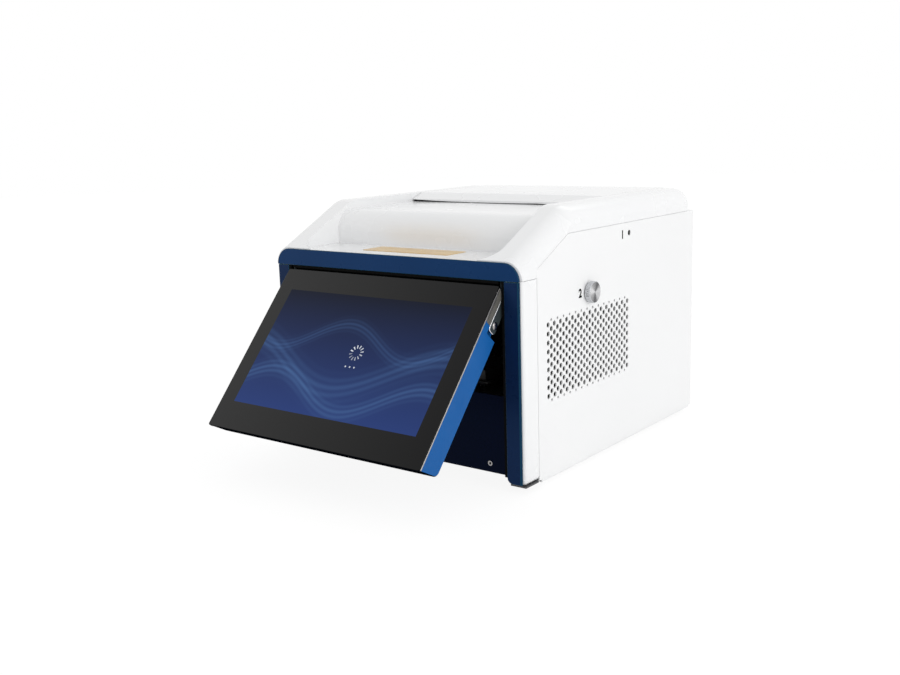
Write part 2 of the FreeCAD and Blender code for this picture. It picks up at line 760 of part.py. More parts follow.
grille = new_body("fan_grille")
for radius in (8.0, 18.0, 28.0, 37.0):
    pad(grille, "XZ_Plane", s.caseDepth, s.caseDepth + 2.0,
        Circle(s.fanX, s.fanZ, radius + 0.8), Circle(s.fanX, s.fanZ, radius - 0.8))
    if radius == 8.0:
        reach = s.fanBore + 5.0
        for angle in (45, 135):
            along_x = math.cos(math.radians(angle))
            along_z = math.sin(math.radians(angle))
            pad(grille, "XZ_Plane", s.caseDepth, s.caseDepth + 2.0, [
                (s.fanX - reach * along_x - along_z, s.fanZ - reach * along_z + along_x),
                (s.fanX - reach * along_x + along_z, s.fanZ - reach * along_z - along_x),
                (s.fanX + reach * along_x + along_z, s.fanZ + reach * along_z - along_x),
                (s.fanX + reach * along_x - along_z, s.fanZ + reach * along_z + along_x),
            ])

supply = new_body("power_supply")
floorTop = s.lowPanelFoot + s.metal
pad(supply, "XY_Plane", floorTop, floorTop + 42.0, box(-30.0, 68.0, 180.0, 350.0))
round_edges(supply, 2.0, lambda m, run: near(m.z, floorTop + 42.0), "Chamfer")

board = new_body("control_board")
pad(board, "XZ_Plane", s.linerBack + 8.0, s.linerBack + 9.6, box(-90.0, 90.0, 100.0, 215.0))
pad(board, "XZ_Plane", s.linerBack, s.linerBack + 8.0, *(
    Circle(x, z, 3.0) for x in (-84.0, 84.0) for z in (106.0, 209.0)))

inlet = new_body("iec_inlet")
pad(inlet, "XZ_Plane", s.caseDepth, s.caseDepth + 3.0,
    soft_box(s.inletX - 27.0, s.inletX + 27.0, s.inletZ - 32.0, s.inletZ + 32.0, 4.0))
pad(inlet, "XZ_Plane", s.caseDepth - 28.0, s.caseDepth,
    box(s.inletX - 23.6, s.inletX + 23.6, s.inletZ - 28.6, s.inletZ + 28.6))
socketZ = s.inletZ - 14.0
cut(inlet, "XZ_Plane", s.caseDepth - 15.0, s.caseDepth + 4.0,
    box(s.inletX - 13.5, s.inletX + 13.5, socketZ - 9.0, socketZ + 9.0))
pad(inlet, "XZ_Plane", s.caseDepth - 15.0, s.caseDepth - 1.0, *(
    box(s.inletX + x - 1.0, s.inletX + x + 1.0, socketZ + z - 2.0, socketZ + z + 2.0)
    for x, z in ((-7.0, -2.0), (0.0, 2.5), (7.0, -2.0))))
rockerZ = s.inletZ + 15.0
rockerY = s.caseDepth - s.rockerDepth
cut(inlet, "XZ_Plane", s.caseDepth - 14.0, s.caseDepth + 4.0,
    box(s.inletX - 14.0, s.inletX + 14.0, rockerZ - 10.0, rockerZ + 10.0))
cut(inlet, "YZ_Plane", s.inletX - 15.6, s.inletX + 15.6, Circle(rockerY, rockerZ, s.rockerPin + s.play))

port = new_body("usb_port")
pad(port, "XZ_Plane", s.caseDepth - 17.0, s.caseDepth + 0.4,
    box(s.usbX - 6.6, s.usbX + 6.6, s.inletZ - 3.0, s.inletZ + 3.0))
cut(port, "XZ_Plane", s.caseDepth - 13.0, s.caseDepth + 1.0,
    box(s.usbX - 6.1, s.usbX + 6.1, s.inletZ - 2.5, s.inletZ + 2.5))
pad(port, "XZ_Plane", s.caseDepth - 13.0, s.caseDepth - 1.0,
    box(s.usbX - 5.5, s.usbX + 5.5, s.inletZ, s.inletZ + 1.5))

for name, x, y in (("front_left", -1, s.footFront), ("front_right", 1, s.footFront),
                   ("rear_left", -1, s.footBack), ("rear_right", 1, s.footBack)):
    foot = new_body(f"foot_{name}")
    pad(foot, "XY_Plane", 0 - s.lift, s.lowPanelFoot, Circle(s.footX * x, y, s.footRadius))
    round_edges(foot, 1.5, lambda m, run: near(m.z, 0 - s.lift))

# the door, closed and drawn about its pivot: y runs back from the pivot, z runs up
glassBack = s.glassFront + s.glassThick
glassFoot = s.glassTop - s.doorLength
glass = new_body("door_glass", on_door=True)
pad(glass, "XZ_Plane", s.glassFront, glassBack,
    soft_box(0 - s.doorHalf, s.doorHalf, glassFoot, s.glassTop, s.glassRound))

screenHigh = s.glassTop - s.screenTop
screenLow = screenHigh - s.screenHeight
display = new_body("door_display", on_door=True)
pad(display, "XZ_Plane", glassBack, glassBack + s.screenThick,
    box(0 - s.screenHalf, s.screenHalf, screenLow, screenHigh))

trim = new_body("door_trim", on_door=True)
trimBack = glassBack + s.trimThick
pad(trim, "XZ_Plane", glassBack, trimBack,
    soft_box(0.1 - s.doorHalf, s.doorHalf - 0.1, glassFoot + 0.1, s.glassTop - 0.1, s.glassRound),
    box(-0.3 - s.screenHalf, s.screenHalf + 0.3, screenLow - 0.3, screenHigh + 0.3))

shell = new_body("door_shell", on_door=True)
shellHalf = s.doorHalf - s.shellInset
shellBack = s.glassFront + s.doorDepth
shellTop = s.glassTop - s.shellInset
shellFoot = glassFoot + s.shellInset
pad(shell, "YZ_Plane", 0 - shellHalf, shellHalf, [
    (trimBack, shellFoot),
    (shellBack, shellFoot + s.doorRise),
    (shellBack, shellTop),
    (trimBack, shellTop),
])
round_edges(shell, s.doorRound, lambda m, run: (
    along(run, "x") and near(m.y, shellBack) and near(m.z, shellFoot + s.doorRise)))
for side, sign in sides:
    low, high = span(sign, s.notchHalf, s.doorHalf + 1.0)
    cut(shell, "YZ_Plane", low, high, box(trimBack - 1.0, shellBack + 1.0, s.boltDrop, shellTop + 1.0))
    cut(shell, "YZ_Plane", low, high, Circle(s.boltBack, s.boltDrop, s.notchRound))
    cut(shell, "YZ_Plane", low, high, box(s.boltBack, shellBack + 1.0, s.boltDrop - s.notchRound, s.boltDrop + 1.0))
round_edges(shell, 1.5, lambda m, run: (
    near(abs(m.x), shellHalf) and near(m.y, shellBack, 0.6) and along(run, "z")))
cavityBack = shellBack - s.shellWall
notchFloor = s.boltDrop - s.notchRound - s.shellWall
cut(shell, "XZ_Plane", trimBack - 1.0, cavityBack,
    box(s.shellWall - s.notchHalf, s.notchHalf - s.shellWall, notchFloor - 1.0, shellTop - s.shellWall))
cut(shell, "XZ_Plane", trimBack - 1.0, cavityBack,
    box(s.shellWall - shellHalf, shellHalf - s.shellWall, shellFoot + s.doorRise + s.doorRound, notchFloor))
cut(shell, "XZ_Plane", cavityBack - 1.0, shellBack + 1.0,
    soft_box(-126.0, 126.0, shellFoot + 22.0, notchFloor + 6.0, 8.0))

inner_panel = new_body("door_inner_panel", on_door=True)
pad(inner_panel, "XZ_Plane", cavityBack - s.metal, cavityBack,
    box(-134.0, 134.0, shellFoot + 14.0, notchFloor + 14.0))

for side, sign in sides:
    arm = new_body(f"hinge_arm_{side}", on_door=True)
    low, high = span(sign, s.armOuter - s.armThick, s.armOuter)
    armFront = s.boltBack - s.armEnd
    armBack = s.boltBack + s.armEnd
    pad(arm, "YZ_Plane", low, high, box(armFront, armBack, s.boltDrop, s.glassTop - 4.4))
    pad(arm, "YZ_Plane", low, high, Circle(s.boltBack, s.boltDrop, s.armEnd))
    round_edges(arm, 5.0, lambda m, run: (
        along(run, "x") and near(m.z, s.glassTop - 4.4) and near(m.y, armBack)))
    pad(arm, "YZ_Plane", low, high, Circle(zero, zero, s.armBoss))
    neckY = s.armBoss * 0.715
    neckZ = s.armBoss * 0.49
    pad(arm, "YZ_Plane", low, high, [
        (0 - neckY, 0 - neckZ),
        (armFront, s.glassTop - 10.0),
        (armFront + 9.0, s.glassTop - 4.6),
        (neckY, neckZ),
    ])
    low, high = span(sign, s.armOuter, s.pinEnd)
    pad(arm, "YZ_Plane", low, high, Circle(zero, zero, s.pinRadius))
    low, high = span(sign, s.armOuter - s.armThick - 1.0, s.armOuter + 1.0)
    cut(arm, "YZ_Plane", low, high, Circle(s.boltBack, s.boltDrop, s.boltShank))

    bolt = new_body(f"hinge_bolt_{side}", on_door=True)
    low, high = span(sign, s.armOuter, s.armOuter + s.boltDome)
    pad(bolt, "YZ_Plane", low, high, Circle(s.boltBack, s.boltDrop, s.boltHead))
    round_edges(bolt, 1.3, lambda m, run: near(abs(m.x), s.armOuter + s.boltDome, 0.1))
    low, high = span(sign, s.notchHalf, s.armOuter)
    pad(bolt, "YZ_Plane", low, high, Circle(s.boltBack, s.boltDrop, s.boltShank))

    block = new_body(f"hinge_block_{side}", on_door=True)
    blockBack = armFront - 0.35
    blockStep = s.glassTop - 13.0
    low, high = span(sign, s.notchHalf, s.doorHalf - s.shellInset)
    pad(block, "YZ_Plane", low, high, box(trimBack, blockBack, s.boltDrop, blockStep))
    low, high = span(sign, s.notchHalf, s.armOuter - s.armThick - 0.4)
    pad(block, "YZ_Plane", low, high, box(trimBack, blockBack, blockStep, shellTop))

# the tray and its two heated blocks
holder = new_body("tray_plate")
trayTop = s.trayFoot + s.trayThick
pad(holder, "XY_Plane", s.trayFoot, trayTop,
    soft_box(0 - s.trayHalf, s.trayHalf, s.trayFront, s.trayBack, 5.0))
for side, sign in sides:
    for reach in (s.railX - s.railHalf - 4.3, s.railX + s.railHalf + 0.3):
        low, high = span(sign, reach, reach + 4.0)
        pad(holder, "XY_Plane", s.deckTop + 1.0, s.trayFoot, box(low, high, s.trayFront + 10.0, s.trayBack - 10.0))
for side, sign in sides:
    block = new_body(f"heater_block_{side}")
    low, high = span(sign, s.blockNear, s.blockFar)
    blockTop = trayTop + s.blockHigh
    pad(block, "XY_Plane", trayTop, blockTop, box(low, high, s.trayFront + 3.0, s.trayBack - 3.0))
    wells = [Circle(s.combX * sign + s.tipPitch * (i - 3.5), s.combY + y, s.wellRadius)
             for i in range(8) for y in (-9.0, 45.0)]
    cut(block, "XY_Plane", blockTop - 9.0, blockTop + 1.0, *wells)

# the two lifting heads
def draw_head(label, foot, bush_foot, bush_top, own, other):
    head = new_body(label)
    top = foot + s.headThick
    beam = s.guideX + 10.0
    pad(head, "XY_Plane", foot, top, [
        (0 - beam, s.driveY - 11.0),
        (-98.0, s.driveY - 11.0),
        (-98.0, s.combY - 10.0),
        (98.0, s.combY - 10.0),
        (98.0, s.driveY - 11.0),
        (beam, s.driveY - 11.0),
        (beam, s.driveY + 11.0),
        (0 - beam, s.driveY + 11.0),
    ])
    pad(head, "XY_Plane", bush_foot, bush_top,
        Circle(s.guideX, s.driveY, s.guideRadius + 4.0), Circle(0 - s.guideX, s.driveY, s.guideRadius + 4.0))
    cut(head, "XY_Plane", bush_foot - 1.0, bush_top + 1.0,
        Circle(s.guideX, s.driveY, s.guideRadius + s.play),
        Circle(0 - s.guideX, s.driveY, s.guideRadius + s.play),
        Circle(s.driveX * own, s.driveY, s.leadRadius + s.play),
        Circle(s.driveX * other, s.driveY, s.leadRadius + 3.0),
        soft_box(-84.0, 84.0, s.combY + 16.0, s.driveY - 16.0, 6.0))
    return head


draw_head("rod_carriage", s.rodHead, s.rodHead, s.rodHead + 11.0, -1, 1)
rods = new_body("magnet_rods")
pad(rods, "XY_Plane", s.rodHead - 4.0, s.rodHead, box(-86.0, 86.0, s.combY - 6.0, s.combY + 6.0))
tips = [s.combX * sign + s.tipPitch * (i - 3.5) for side, sign in sides for i in range(8)]
pad(rods, "XY_Plane", s.rodFoot, s.rodHead - 4.0, *(Circle(x, s.combY, s.rodRadius) for x in tips))

head = draw_head("sleeve_carriage", s.sleeveHead, s.sleeveHead - 12.0, s.sleeveHead + s.headThick, 1, -1)
for side, sign in sides:
    low, high = span(sign, s.combX - 36.5, s.combX + 36.5)
    cut(head, "XY_Plane", s.sleeveHead - 1.0, s.sleeveHead + s.headThick + 1.0,
        box(low, high, s.combY - 5.0, s.combY + 5.0))
    comb = new_body(f"sleeve_comb_{side}")
    low, high = span(sign, s.combX - 39.0, s.combX + 39.0)
    pad(comb, "XY_Plane", s.sleeveHead - 3.0, s.sleeveHead, box(low, high, s.combY - 7.5, s.combY + 7.5))
    tips = [s.combX * sign + s.tipPitch * (i - 3.5) for i in range(8)]
    pad(comb, "XY_Plane", s.sleeveFoot, s.sleeveHead - 3.0, *(Circle(x, s.combY, s.sleeveOuter) for x in tips))
    cut(comb, "XY_Plane", s.sleeveFoot + 1.5, s.sleeveHead + 1.0, *(Circle(x, s.combY, s.sleeveInner) for x in tips))

for name, sign in drives:
    screw = new_body(f"lead_screw_{name}")
    pad(screw, "XY_Plane", s.deckTop - s.deckThick - 2.5, s.driveTop - 0.4, Circle(s.driveX * sign, s.driveY, s.leadRadius))

# fan rotor, thumb screw and rocker
rotor = new_body("fan_rotor")
rotorFront = fanFront + 4.0
pad(rotor, "XZ_Plane", rotorFront, rearFront - 3.0, Circle(s.fanX, s.fanZ, 15.0))
cut(rotor, "XZ_Plane", rotorFront - 1.0, fanFront + 17.0, Circle(s.fanX, s.fanZ, s.knobShank + s.play))
for i in range(7):
    start = math.radians(360 * i / 7)
    reach = s.fanBore - 1.5
    corners = []
    for radius, offset in ((13.0, -0.06), (reach, -0.03), (reach, 0.25), (13.0, 0.25)):
        corners.append((s.fanX + radius * math.cos(start + offset), s.fanZ + radius * math.sin(start + offset)))
    pad(rotor, "XZ_Plane", rotorFront + 7.0, rotorFront + 9.0, corners)

knob = new_body("side_knob")
knobFoot = caseHalf + 0.3
pad(knob, "YZ_Plane", knobFoot, knobFoot + s.knobHeight, Circle(s.knobY, s.knobZ, s.knobRadius))
round_edges(knob, 0.9, lambda m, run: near(m.x, knobFoot + s.knobHeight, 0.1), "Chamfer")
pad(knob, "YZ_Plane", caseHalf - 9.0, knobFoot, Circle(s.knobY, s.knobZ, s.knobShank))

rocker = new_body("power_rocker")
pad(rocker, "YZ_Plane", s.inletX - 13.6, s.inletX + 13.6, [
    (rockerY, rockerZ - s.rockerBarrel),
    (s.caseDepth + 1.0, rockerZ - s.rockerHalf),
    (s.caseDepth + 3.4, rockerZ - s.rockerHalf),
    (s.caseDepth + 2.2, rockerZ),
    (s.caseDepth + 3.4, rockerZ + s.rockerHalf),
    (s.caseDepth + 1.0, rockerZ + s.rockerHalf),
    (rockerY, rockerZ + s.rockerBarrel),
])
pad(rocker, "YZ_Plane", s.inletX - 13.6, s.inletX + 13.6, Circle(rockerY, rockerZ, s.rockerBarrel))
pad(rocker, "YZ_Plane", s.inletX - 15.2, s.inletX + 15.2, Circle(rockerY, rockerZ, s.rockerPin))

doc.recompute()
problems = []
for item in doc.Objects:
    if any(word in item.State for word in ("Invalid", "Error")):
        problems.append(f"{item.Label} ({item.Name}): {item.State}")
for body in nodes:
    if body.Shape.isNull() or not body.Shape.isValid() or not body.Shape.Solids:
        problems.append(f"{body.Label}: shape is not valid")
for problem in problems:
    print(problem)
if problems:
    raise ValueError("the part did not build cleanly")

os.makedirs("parts", exist_ok=True)
for body in nodes:
    body.Shape.exportStep(f"parts/{body.Label}.step")
    room = body.Shape.BoundBox
    print(f"{body.Label}: {room.XMin:.1f}..{room.XMax:.1f} {room.YMin:.1f}..{room.YMax:.1f} "
          f"{room.ZMin:.1f}..{room.ZMax:.1f} solids {len(body.Shape.Solids)} volume {body.Shape.Volume:.0f}")
print(len(nodes), "pieces")
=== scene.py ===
# A nucleic acid extractor on a pale studio floor, dressed on its CAD frame.
import bpy
import bmesh
import json
import math
from mathutils import Matrix, Vector


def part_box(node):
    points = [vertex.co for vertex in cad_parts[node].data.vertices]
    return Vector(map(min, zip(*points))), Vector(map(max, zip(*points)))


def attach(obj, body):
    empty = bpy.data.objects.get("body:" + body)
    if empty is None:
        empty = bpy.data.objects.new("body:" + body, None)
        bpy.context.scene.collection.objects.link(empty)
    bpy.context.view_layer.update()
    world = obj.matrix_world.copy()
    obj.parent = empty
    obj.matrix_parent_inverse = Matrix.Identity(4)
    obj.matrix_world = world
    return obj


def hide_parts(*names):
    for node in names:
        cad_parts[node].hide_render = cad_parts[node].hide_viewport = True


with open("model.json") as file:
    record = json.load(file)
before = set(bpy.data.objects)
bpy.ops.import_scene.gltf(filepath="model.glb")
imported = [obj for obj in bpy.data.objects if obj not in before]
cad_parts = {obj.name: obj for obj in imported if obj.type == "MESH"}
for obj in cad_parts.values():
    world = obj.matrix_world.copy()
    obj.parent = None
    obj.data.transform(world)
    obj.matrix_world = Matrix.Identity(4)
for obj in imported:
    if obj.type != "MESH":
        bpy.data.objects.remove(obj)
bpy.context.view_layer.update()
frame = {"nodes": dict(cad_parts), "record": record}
scene = bpy.context.scene

# the case's own datums: its middle, the front of the blue frame and the foot of the side panels
coverLow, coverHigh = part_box("top_cover")
datum = Vector(((coverLow.x + coverHigh.x) / 2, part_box("bezel_top")[0].y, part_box("side_panel_right")[0].z))


# millimetres from those datums, as a place in metres
def spot(x, y, z):
    return datum + Vector((x, y, z)) / 1000


# turns a form made along z to lie along x, or a form made flat to stand upright facing the front
alongX = Matrix.Rotation(math.radians(90), 4, "Y")
facing = Matrix.Rotation(math.radians(90), 4, "X")

# the camera: its place in millimetres, its angles in degrees, focal length and picture width in pixels
view = {"at": (751.379, -865.160, 368.843), "turn": 37.70463, "down": 11.38966, "roll": -1.68599,
        "focal": 1065.449, "picture": 900, "sensor": 36}


def addCamera():
    turn, down, roll = (math.radians(view[key]) for key in ("turn", "down", "roll"))
    ahead = Vector((-math.sin(turn) * math.cos(down), math.cos(turn) * math.cos(down), -math.sin(down)))
    side = Vector((math.cos(turn), math.sin(turn), 0))
    up = side.cross(ahead)
    right = math.cos(roll) * side + math.sin(roll) * up
    top = math.cos(roll) * up - math.sin(roll) * side
    data = bpy.data.cameras.new("camera")
    data.sensor_width = view["sensor"]
    data.lens = view["focal"] * view["sensor"] / view["picture"]
    camera = bpy.data.objects.new("camera", data)
    scene.collection.objects.link(camera)
    turned = Matrix((right, top, -ahead)).transposed().to_4x4()
    camera.matrix_world = Matrix.Translation(spot(*view["at"])) @ turned
    scene.camera = camera


addCamera()
print("camera set")


# a new material with its nodes at hand; it reads object coordinates in metres
class Look:
    def __init__(self, name, color, rough, metal=0.0):
        self.material = bpy.data.materials.new(name)
        self.material.use_nodes = True
        self.nodes = self.material.node_tree.nodes
        self.links = self.material.node_tree.links
        self.shader = self.nodes["Principled BSDF"]
        self.shader.inputs["Base Color"].default_value = (*color, 1)
        self.shader.inputs["Roughness"].default_value = rough
        self.shader.inputs["Metallic"].default_value = metal
        self.material.diffuse_color = (*color, 1)
        self.place = self.nodes.new("ShaderNodeTexCoord").outputs["Object"]

    def set(self, **values):
        for name, value in values.items():
            self.shader.inputs[name.replace("_", " ")].default_value = value

    def join(self, start, end):
        self.links.new(start, end)

    def noise(self, scale, detail=3.0, stretch=None):
        node = self.nodes.new("ShaderNodeTexNoise")
        node.inputs["Scale"].default_value = scale
        node.inputs["Detail"].default_value = detail
        source = self.place
        if stretch:
            mapping = self.nodes.new("ShaderNodeMapping")
            mapping.inputs["Scale"].default_value = stretch
            self.join(source, mapping.inputs["Vector"])
            source = mapping.outputs["Vector"]
        self.join(source, node.inputs["Vector"])
        return node.outputs["Fac"]

    def spread(self, value, low, high, fromLow=0.3, fromHigh=0.7):
        node = self.nodes.new("ShaderNodeMapRange")
        node.inputs["From Min"].default_value = fromLow
        node.inputs["From Max"].default_value = fromHigh
        node.inputs["To Min"].default_value = low
        node.inputs["To Max"].default_value = high
        self.join(value, node.inputs["Value"])
        return node.outputs["Result"]

    def math(self, kind, first, second=None):
        node = self.nodes.new("ShaderNodeMath")
        node.operation = kind
        for socket, value in zip(node.inputs, (first, second)):
            if isinstance(value, (int, float)):
                socket.default_value = value
            elif value is not None:
                self.join(value, socket)
        return node.outputs[0]

    def times(self, first, second):
        return self.math("MULTIPLY", first, second)

    def plus(self, first, second):
        return self.math("ADD", first, second)

    def minus(self, first, second):
        return self.math("SUBTRACT", first, second)

    def square(self, value):
        return self.times(value, value)

    def parts(self, source):
        node = self.nodes.new("ShaderNodeSeparateXYZ")
        self.join(source, node.inputs[0])
        return node.outputs

    def blend(self, amount, first, second):
        node = self.nodes.new("ShaderNodeMix")
        node.data_type = "RGBA"
        for socket, value in ((node.inputs[6], first), (node.inputs[7], second)):
            if isinstance(value, tuple):
                socket.default_value = (*value, 1)
            else:
                self.join(value, socket)
        self.join(amount, node.inputs[0])
        return node.outputs[2]

    def rough(self, value, low, high):
        self.join(self.spread(value, low, high), self.shader.inputs["Roughness"])

    def tint(self, value, first, second):
        mixed = self.blend(self.spread(value, 0.0, 1.0), first, second)
        self.join(mixed, self.shader.inputs["Base Color"])

    def bump(self, value, strength, distance):
        node = self.nodes.new("ShaderNodeBump")
        node.inputs["Strength"].default_value = strength
        node.inputs["Distance"].default_value = distance
        self.join(value, node.inputs["Height"])
        self.join(node.outputs["Normal"], self.shader.inputs["Normal"])
        return self


def glossWhite():
    look = Look("glossWhite", (0.87, 0.875, 0.88), 0.22)
    look.set(Coat_Weight=0.35, Coat_Roughness=0.08)
    look.rough(look.noise(14), 0.20, 0.30)
    look.tint(look.noise(5), (0.86, 0.866, 0.874), (0.88, 0.884, 0.888))
    return look.bump(look.noise(420, 2), 0.05, 0.0002)


def powderWhite():
    look = Look("powderWhite", (0.88, 0.885, 0.89), 0.45)
    look.rough(look.noise(900, 2), 0.40, 0.55)
    look.tint(look.noise(4), (0.868, 0.872, 0.876), (0.886, 0.889, 0.892))
    return look.bump(look.noise(1500, 3), 0.12, 0.0002)


def navyPaint(name="navyPaint", color=(0.0060, 0.0320, 0.106), shine=0.24):
    look = Look(name, color, 0.3)
    look.set(Specular_IOR_Level=shine, Specular_Tint=(0.12, 0.38, 1.0, 1))
    look.rough(look.noise(60), 0.24, 0.34)
    look.tint(look.noise(9), tuple(0.93 * part for part in color), tuple(1.07 * part for part in color))
    return look.bump(look.noise(1100, 3), 0.06, 0.0001)


def doorBlue():
    look = Look("doorBlue", (0.0080, 0.102, 0.345), 0.38)
    look.set(Specular_IOR_Level=0.25, Specular_Tint=(0.10, 0.45, 1.0, 1))
    look.rough(look.noise(80), 0.34, 0.46)
    look.tint(look.noise(12), (0.0074, 0.096, 0.33), (0.0086, 0.108, 0.36))
    return look.bump(look.noise(1300, 3), 0.08, 0.0001)


# cover glass: a painted reflection, its colour paler towards its left, where the room's pale side would show
def blackGlass():
    look = Look("blackGlass", (0.018, 0.018, 0.019), 0.06)
    look.set(Specular_IOR_Level=0.12)
    paintedReflection = look.spread(look.parts(look.place)["X"], 1.0, 0.0, -0.15, 0.15)
    mixed = look.blend(paintedReflection, (0.0068, 0.0068, 0.0072), (0.029, 0.029, 0.029))
    look.join(mixed, look.shader.inputs["Base Color"])
    look.rough(look.noise(25, 4), 0.05, 0.10)
    return look.bump(look.noise(30), 0.02, 0.0003)


def blackMatt(name="blackMatt", color=(0.012, 0.012, 0.013), rough=0.62, shine=0.5):
    look = Look(name, color, rough)
    look.set(Specular_IOR_Level=shine)
    look.rough(look.noise(300), rough - 0.08, rough + 0.10)
    return look.bump(look.noise(1600, 3), 0.15, 0.0002)


# one colour, a roughness that wanders between two values, and a fine grain; noises are scale, detail, stretch
def plain(name, color, rough, metal, wander, between, grain, relief):
    look = Look(name, color, rough, metal)
    look.rough(look.noise(*wander), *between)
    return look.bump(look.noise(*grain), *relief)


def frosted():
    look = Look("frosted", (0.78, 0.82, 0.84), 0.35)
    look.set(Subsurface_Weight=0.2, Subsurface_Radius=(0.004, 0.004, 0.004), Subsurface_Scale=1.0)
    look.rough(look.noise(120), 0.3, 0.45)
    return look.bump(look.noise(900), 0.05, 0.0001)


def circuitGreen():
    look = Look("circuitGreen", (0.02, 0.13, 0.05), 0.4)
    look.tint(look.noise(160, 1), (0.015, 0.11, 0.04), (0.03, 0.18, 0.07))
    look.rough(look.noise(240), 0.3, 0.5)
    return look.bump(look.noise(700, 1), 0.3, 0.0002)


def amberPlate():
    look = Look("amberPlate", (0.66, 0.42, 0.13), 0.3)
    look.set(Coat_Weight=0.3, Coat_Roughness=0.1)
    look.tint(look.noise(40, 2), (0.62, 0.39, 0.12), (0.72, 0.49, 0.18))
    look.rough(look.noise(300, 2, stretch=(0.05, 1, 1)), 0.25, 0.4)
    return look.bump(look.noise(1500, 2, stretch=(0.04, 1, 1)), 0.08, 0.0001)


looks = {
    "white_cover": glossWhite(), "white_metal": powderWhite(),
    "blue_frame": navyPaint(), "door_blue": doorBlue(),
    "black_plastic": blackMatt(), "black_metal": blackMatt("blackPaint", (0.010, 0.010, 0.011), 0.5),
    "rubber": plain("rubberBlack", (0.018, 0.018, 0.019), 0.8, 0.0, (200,), (0.7, 0.92), (1200, 4),
                    (0.3, 0.0003)),
    "screen_glass": blackGlass(), "screen_module": blackMatt("moduleBlack"),
    "silver": plain("satinSilver", (0.40, 0.39, 0.38), 0.32, 1.0, (400, 3, (1, 0.05, 0.05)), (0.26, 0.42),
                    (1800, 2, (1, 0.04, 0.04)), (0.08, 0.0002)),
    "chrome": plain("chromed", (0.82, 0.83, 0.85), 0.10, 1.0, (70, 4), (0.07, 0.16), (500,), (0.03, 0.0002)),
    "steel": plain("groundSteel", (0.56, 0.57, 0.59), 0.25, 1.0, (900, 3, (1, 1, 0.03)), (0.18, 0.34),
                   (2500, 2, (1, 1, 0.02)), (0.06, 0.0001)),
    "aluminium": plain("anodised", (0.60, 0.61, 0.63), 0.42, 1.0, (500, 3), (0.36, 0.50), (2200, 2),
                       (0.10, 0.0001)),
    "clear_plastic": frosted(), "board_green": circuitGreen(),
    "lamp_glass": plain("lampTube", (0.75, 0.80, 0.90), 0.15, 0.0, (90,), (0.1, 0.25), (60,), (0.03, 0.0002)),
}
extra = {
    "darkGrey": plain("darkGrey", (0.05, 0.05, 0.055), 0.5, 0.0, (300,), (0.42, 0.6), (1500,), (0.1, 0.0001)),
    "amber": amberPlate(), "shade": blackMatt("shade", (0.004, 0.004, 0.004), 0.8, 0.04),
    # a near-black copy of the navy for the lower panel: painted shade from the open door above it
    "doorShadeNavy": navyPaint("doorShadeNavy", (0.0014, 0.0016, 0.0110), 0.08),
    # a darker copy of the navy for the side bars: painted shade, as they catch less light than the top bar
    "sideShadeNavy": navyPaint("sideShadeNavy", (0.0042, 0.0150, 0.054), 0.24),
    # a lighter, teal copy of the navy for the broken edges: a painted highlight
    "navyEdgeHighlight": navyPaint("navyEdgeHighlight", (0.0080, 0.0480, 0.072), 0.30),
    # near black for faces that look down: painted shade
    "undersideShade": blackMatt("undersideShade", (0.0020, 0.0026, 0.0045), 0.8, 0.0),
    "plateGrey": plain("plateGrey", (0.040, 0.052, 0.055), 0.32, 0.0, (500, 3), (0.26, 0.40), (1800,),
                       (0.05, 0.0001)),
    "darkSteel": plain("darkSteel", (0.34, 0.33, 0.33), 0.2, 1.0, (400, 3), (0.16, 0.28), (1500,),
                       (0.05, 0.0001)),
    "ribGrey": plain("ribGrey", (0.15, 0.145, 0.13), 0.4, 0.0, (600, 2), (0.34, 0.5), (1500,),
                     (0.05, 0.0001)),
    "darkAnodised": blackMatt("darkAnodised", (0.012, 0.012, 0.013), 0.5),
}
finishOf = {
    # the lower panel takes the painted-shade copy of the navy
    "lower_front_panel": extra["doorShadeNavy"], "tray_plate": extra["darkAnodised"],
    "heater_block_left": extra["darkAnodised"], "heater_block_right": extra["darkAnodised"],
    "hinge_bush_left": extra["shade"], "hinge_bush_right": extra["shade"],
    # the side bars take the painted-shade copy of the navy
    "bezel_left": extra["sideShadeNavy"], "bezel_right": extra["sideShadeNavy"], "door_seal": extra["shade"],
    "hinge_arm_left": extra["plateGrey"], "hinge_arm_right": extra["plateGrey"],
    "hinge_bolt_left": extra["darkSteel"], "hinge_bolt_right": extra["darkSteel"],
    "hinge_block_left": extra["darkGrey"], "hinge_block_right": extra["darkGrey"],
}
for entry in frame["record"]["subparts"]:
    node = frame["nodes"][entry["node"]]
    node.data.materials.clear()
    node.data.materials.append(finishOf.get(entry["node"], looks[entry["material_slot"]]).material)
slotOf = {entry["node"]: entry["material_slot"] for entry in frame["record"]["subparts"]}
bodyOf = {node: body for body, members in frame["record"]["behaviour"]["bodies"].items() for node in members}
print("materials made")


# links a finished mesh, gives it its materials and lets it ride on its body
def finishPiece(mesh, name, body, materials, replaced=()):
    piece = bpy.data.objects.new(name, mesh)
    scene.collection.objects.link(piece)
    for material in materials:
        mesh.materials.append(material)
    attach(piece, body)
    if replaced:
        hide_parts(*replaced)
    return piece


# a smooth-shaded mesh whose edges stay sharp from the given angle up
def meshOf(bm, name, sharp=30):
    mesh = bpy.data.meshes.new(name)
    bm.to_mesh(mesh)
    bm.free()
    mesh.polygons.foreach_set("use_smooth", [True] * len(mesh.polygons))
    mesh.set_sharp_from_angle(angle=math.radians(sharp))
    return mesh


# how edges are found and broken: angles in degrees, the weld distance in metres
edges = {"hard": 32, "sharp": 25, "flat": 0.4, "weld": 0.000002, "weight": 60}


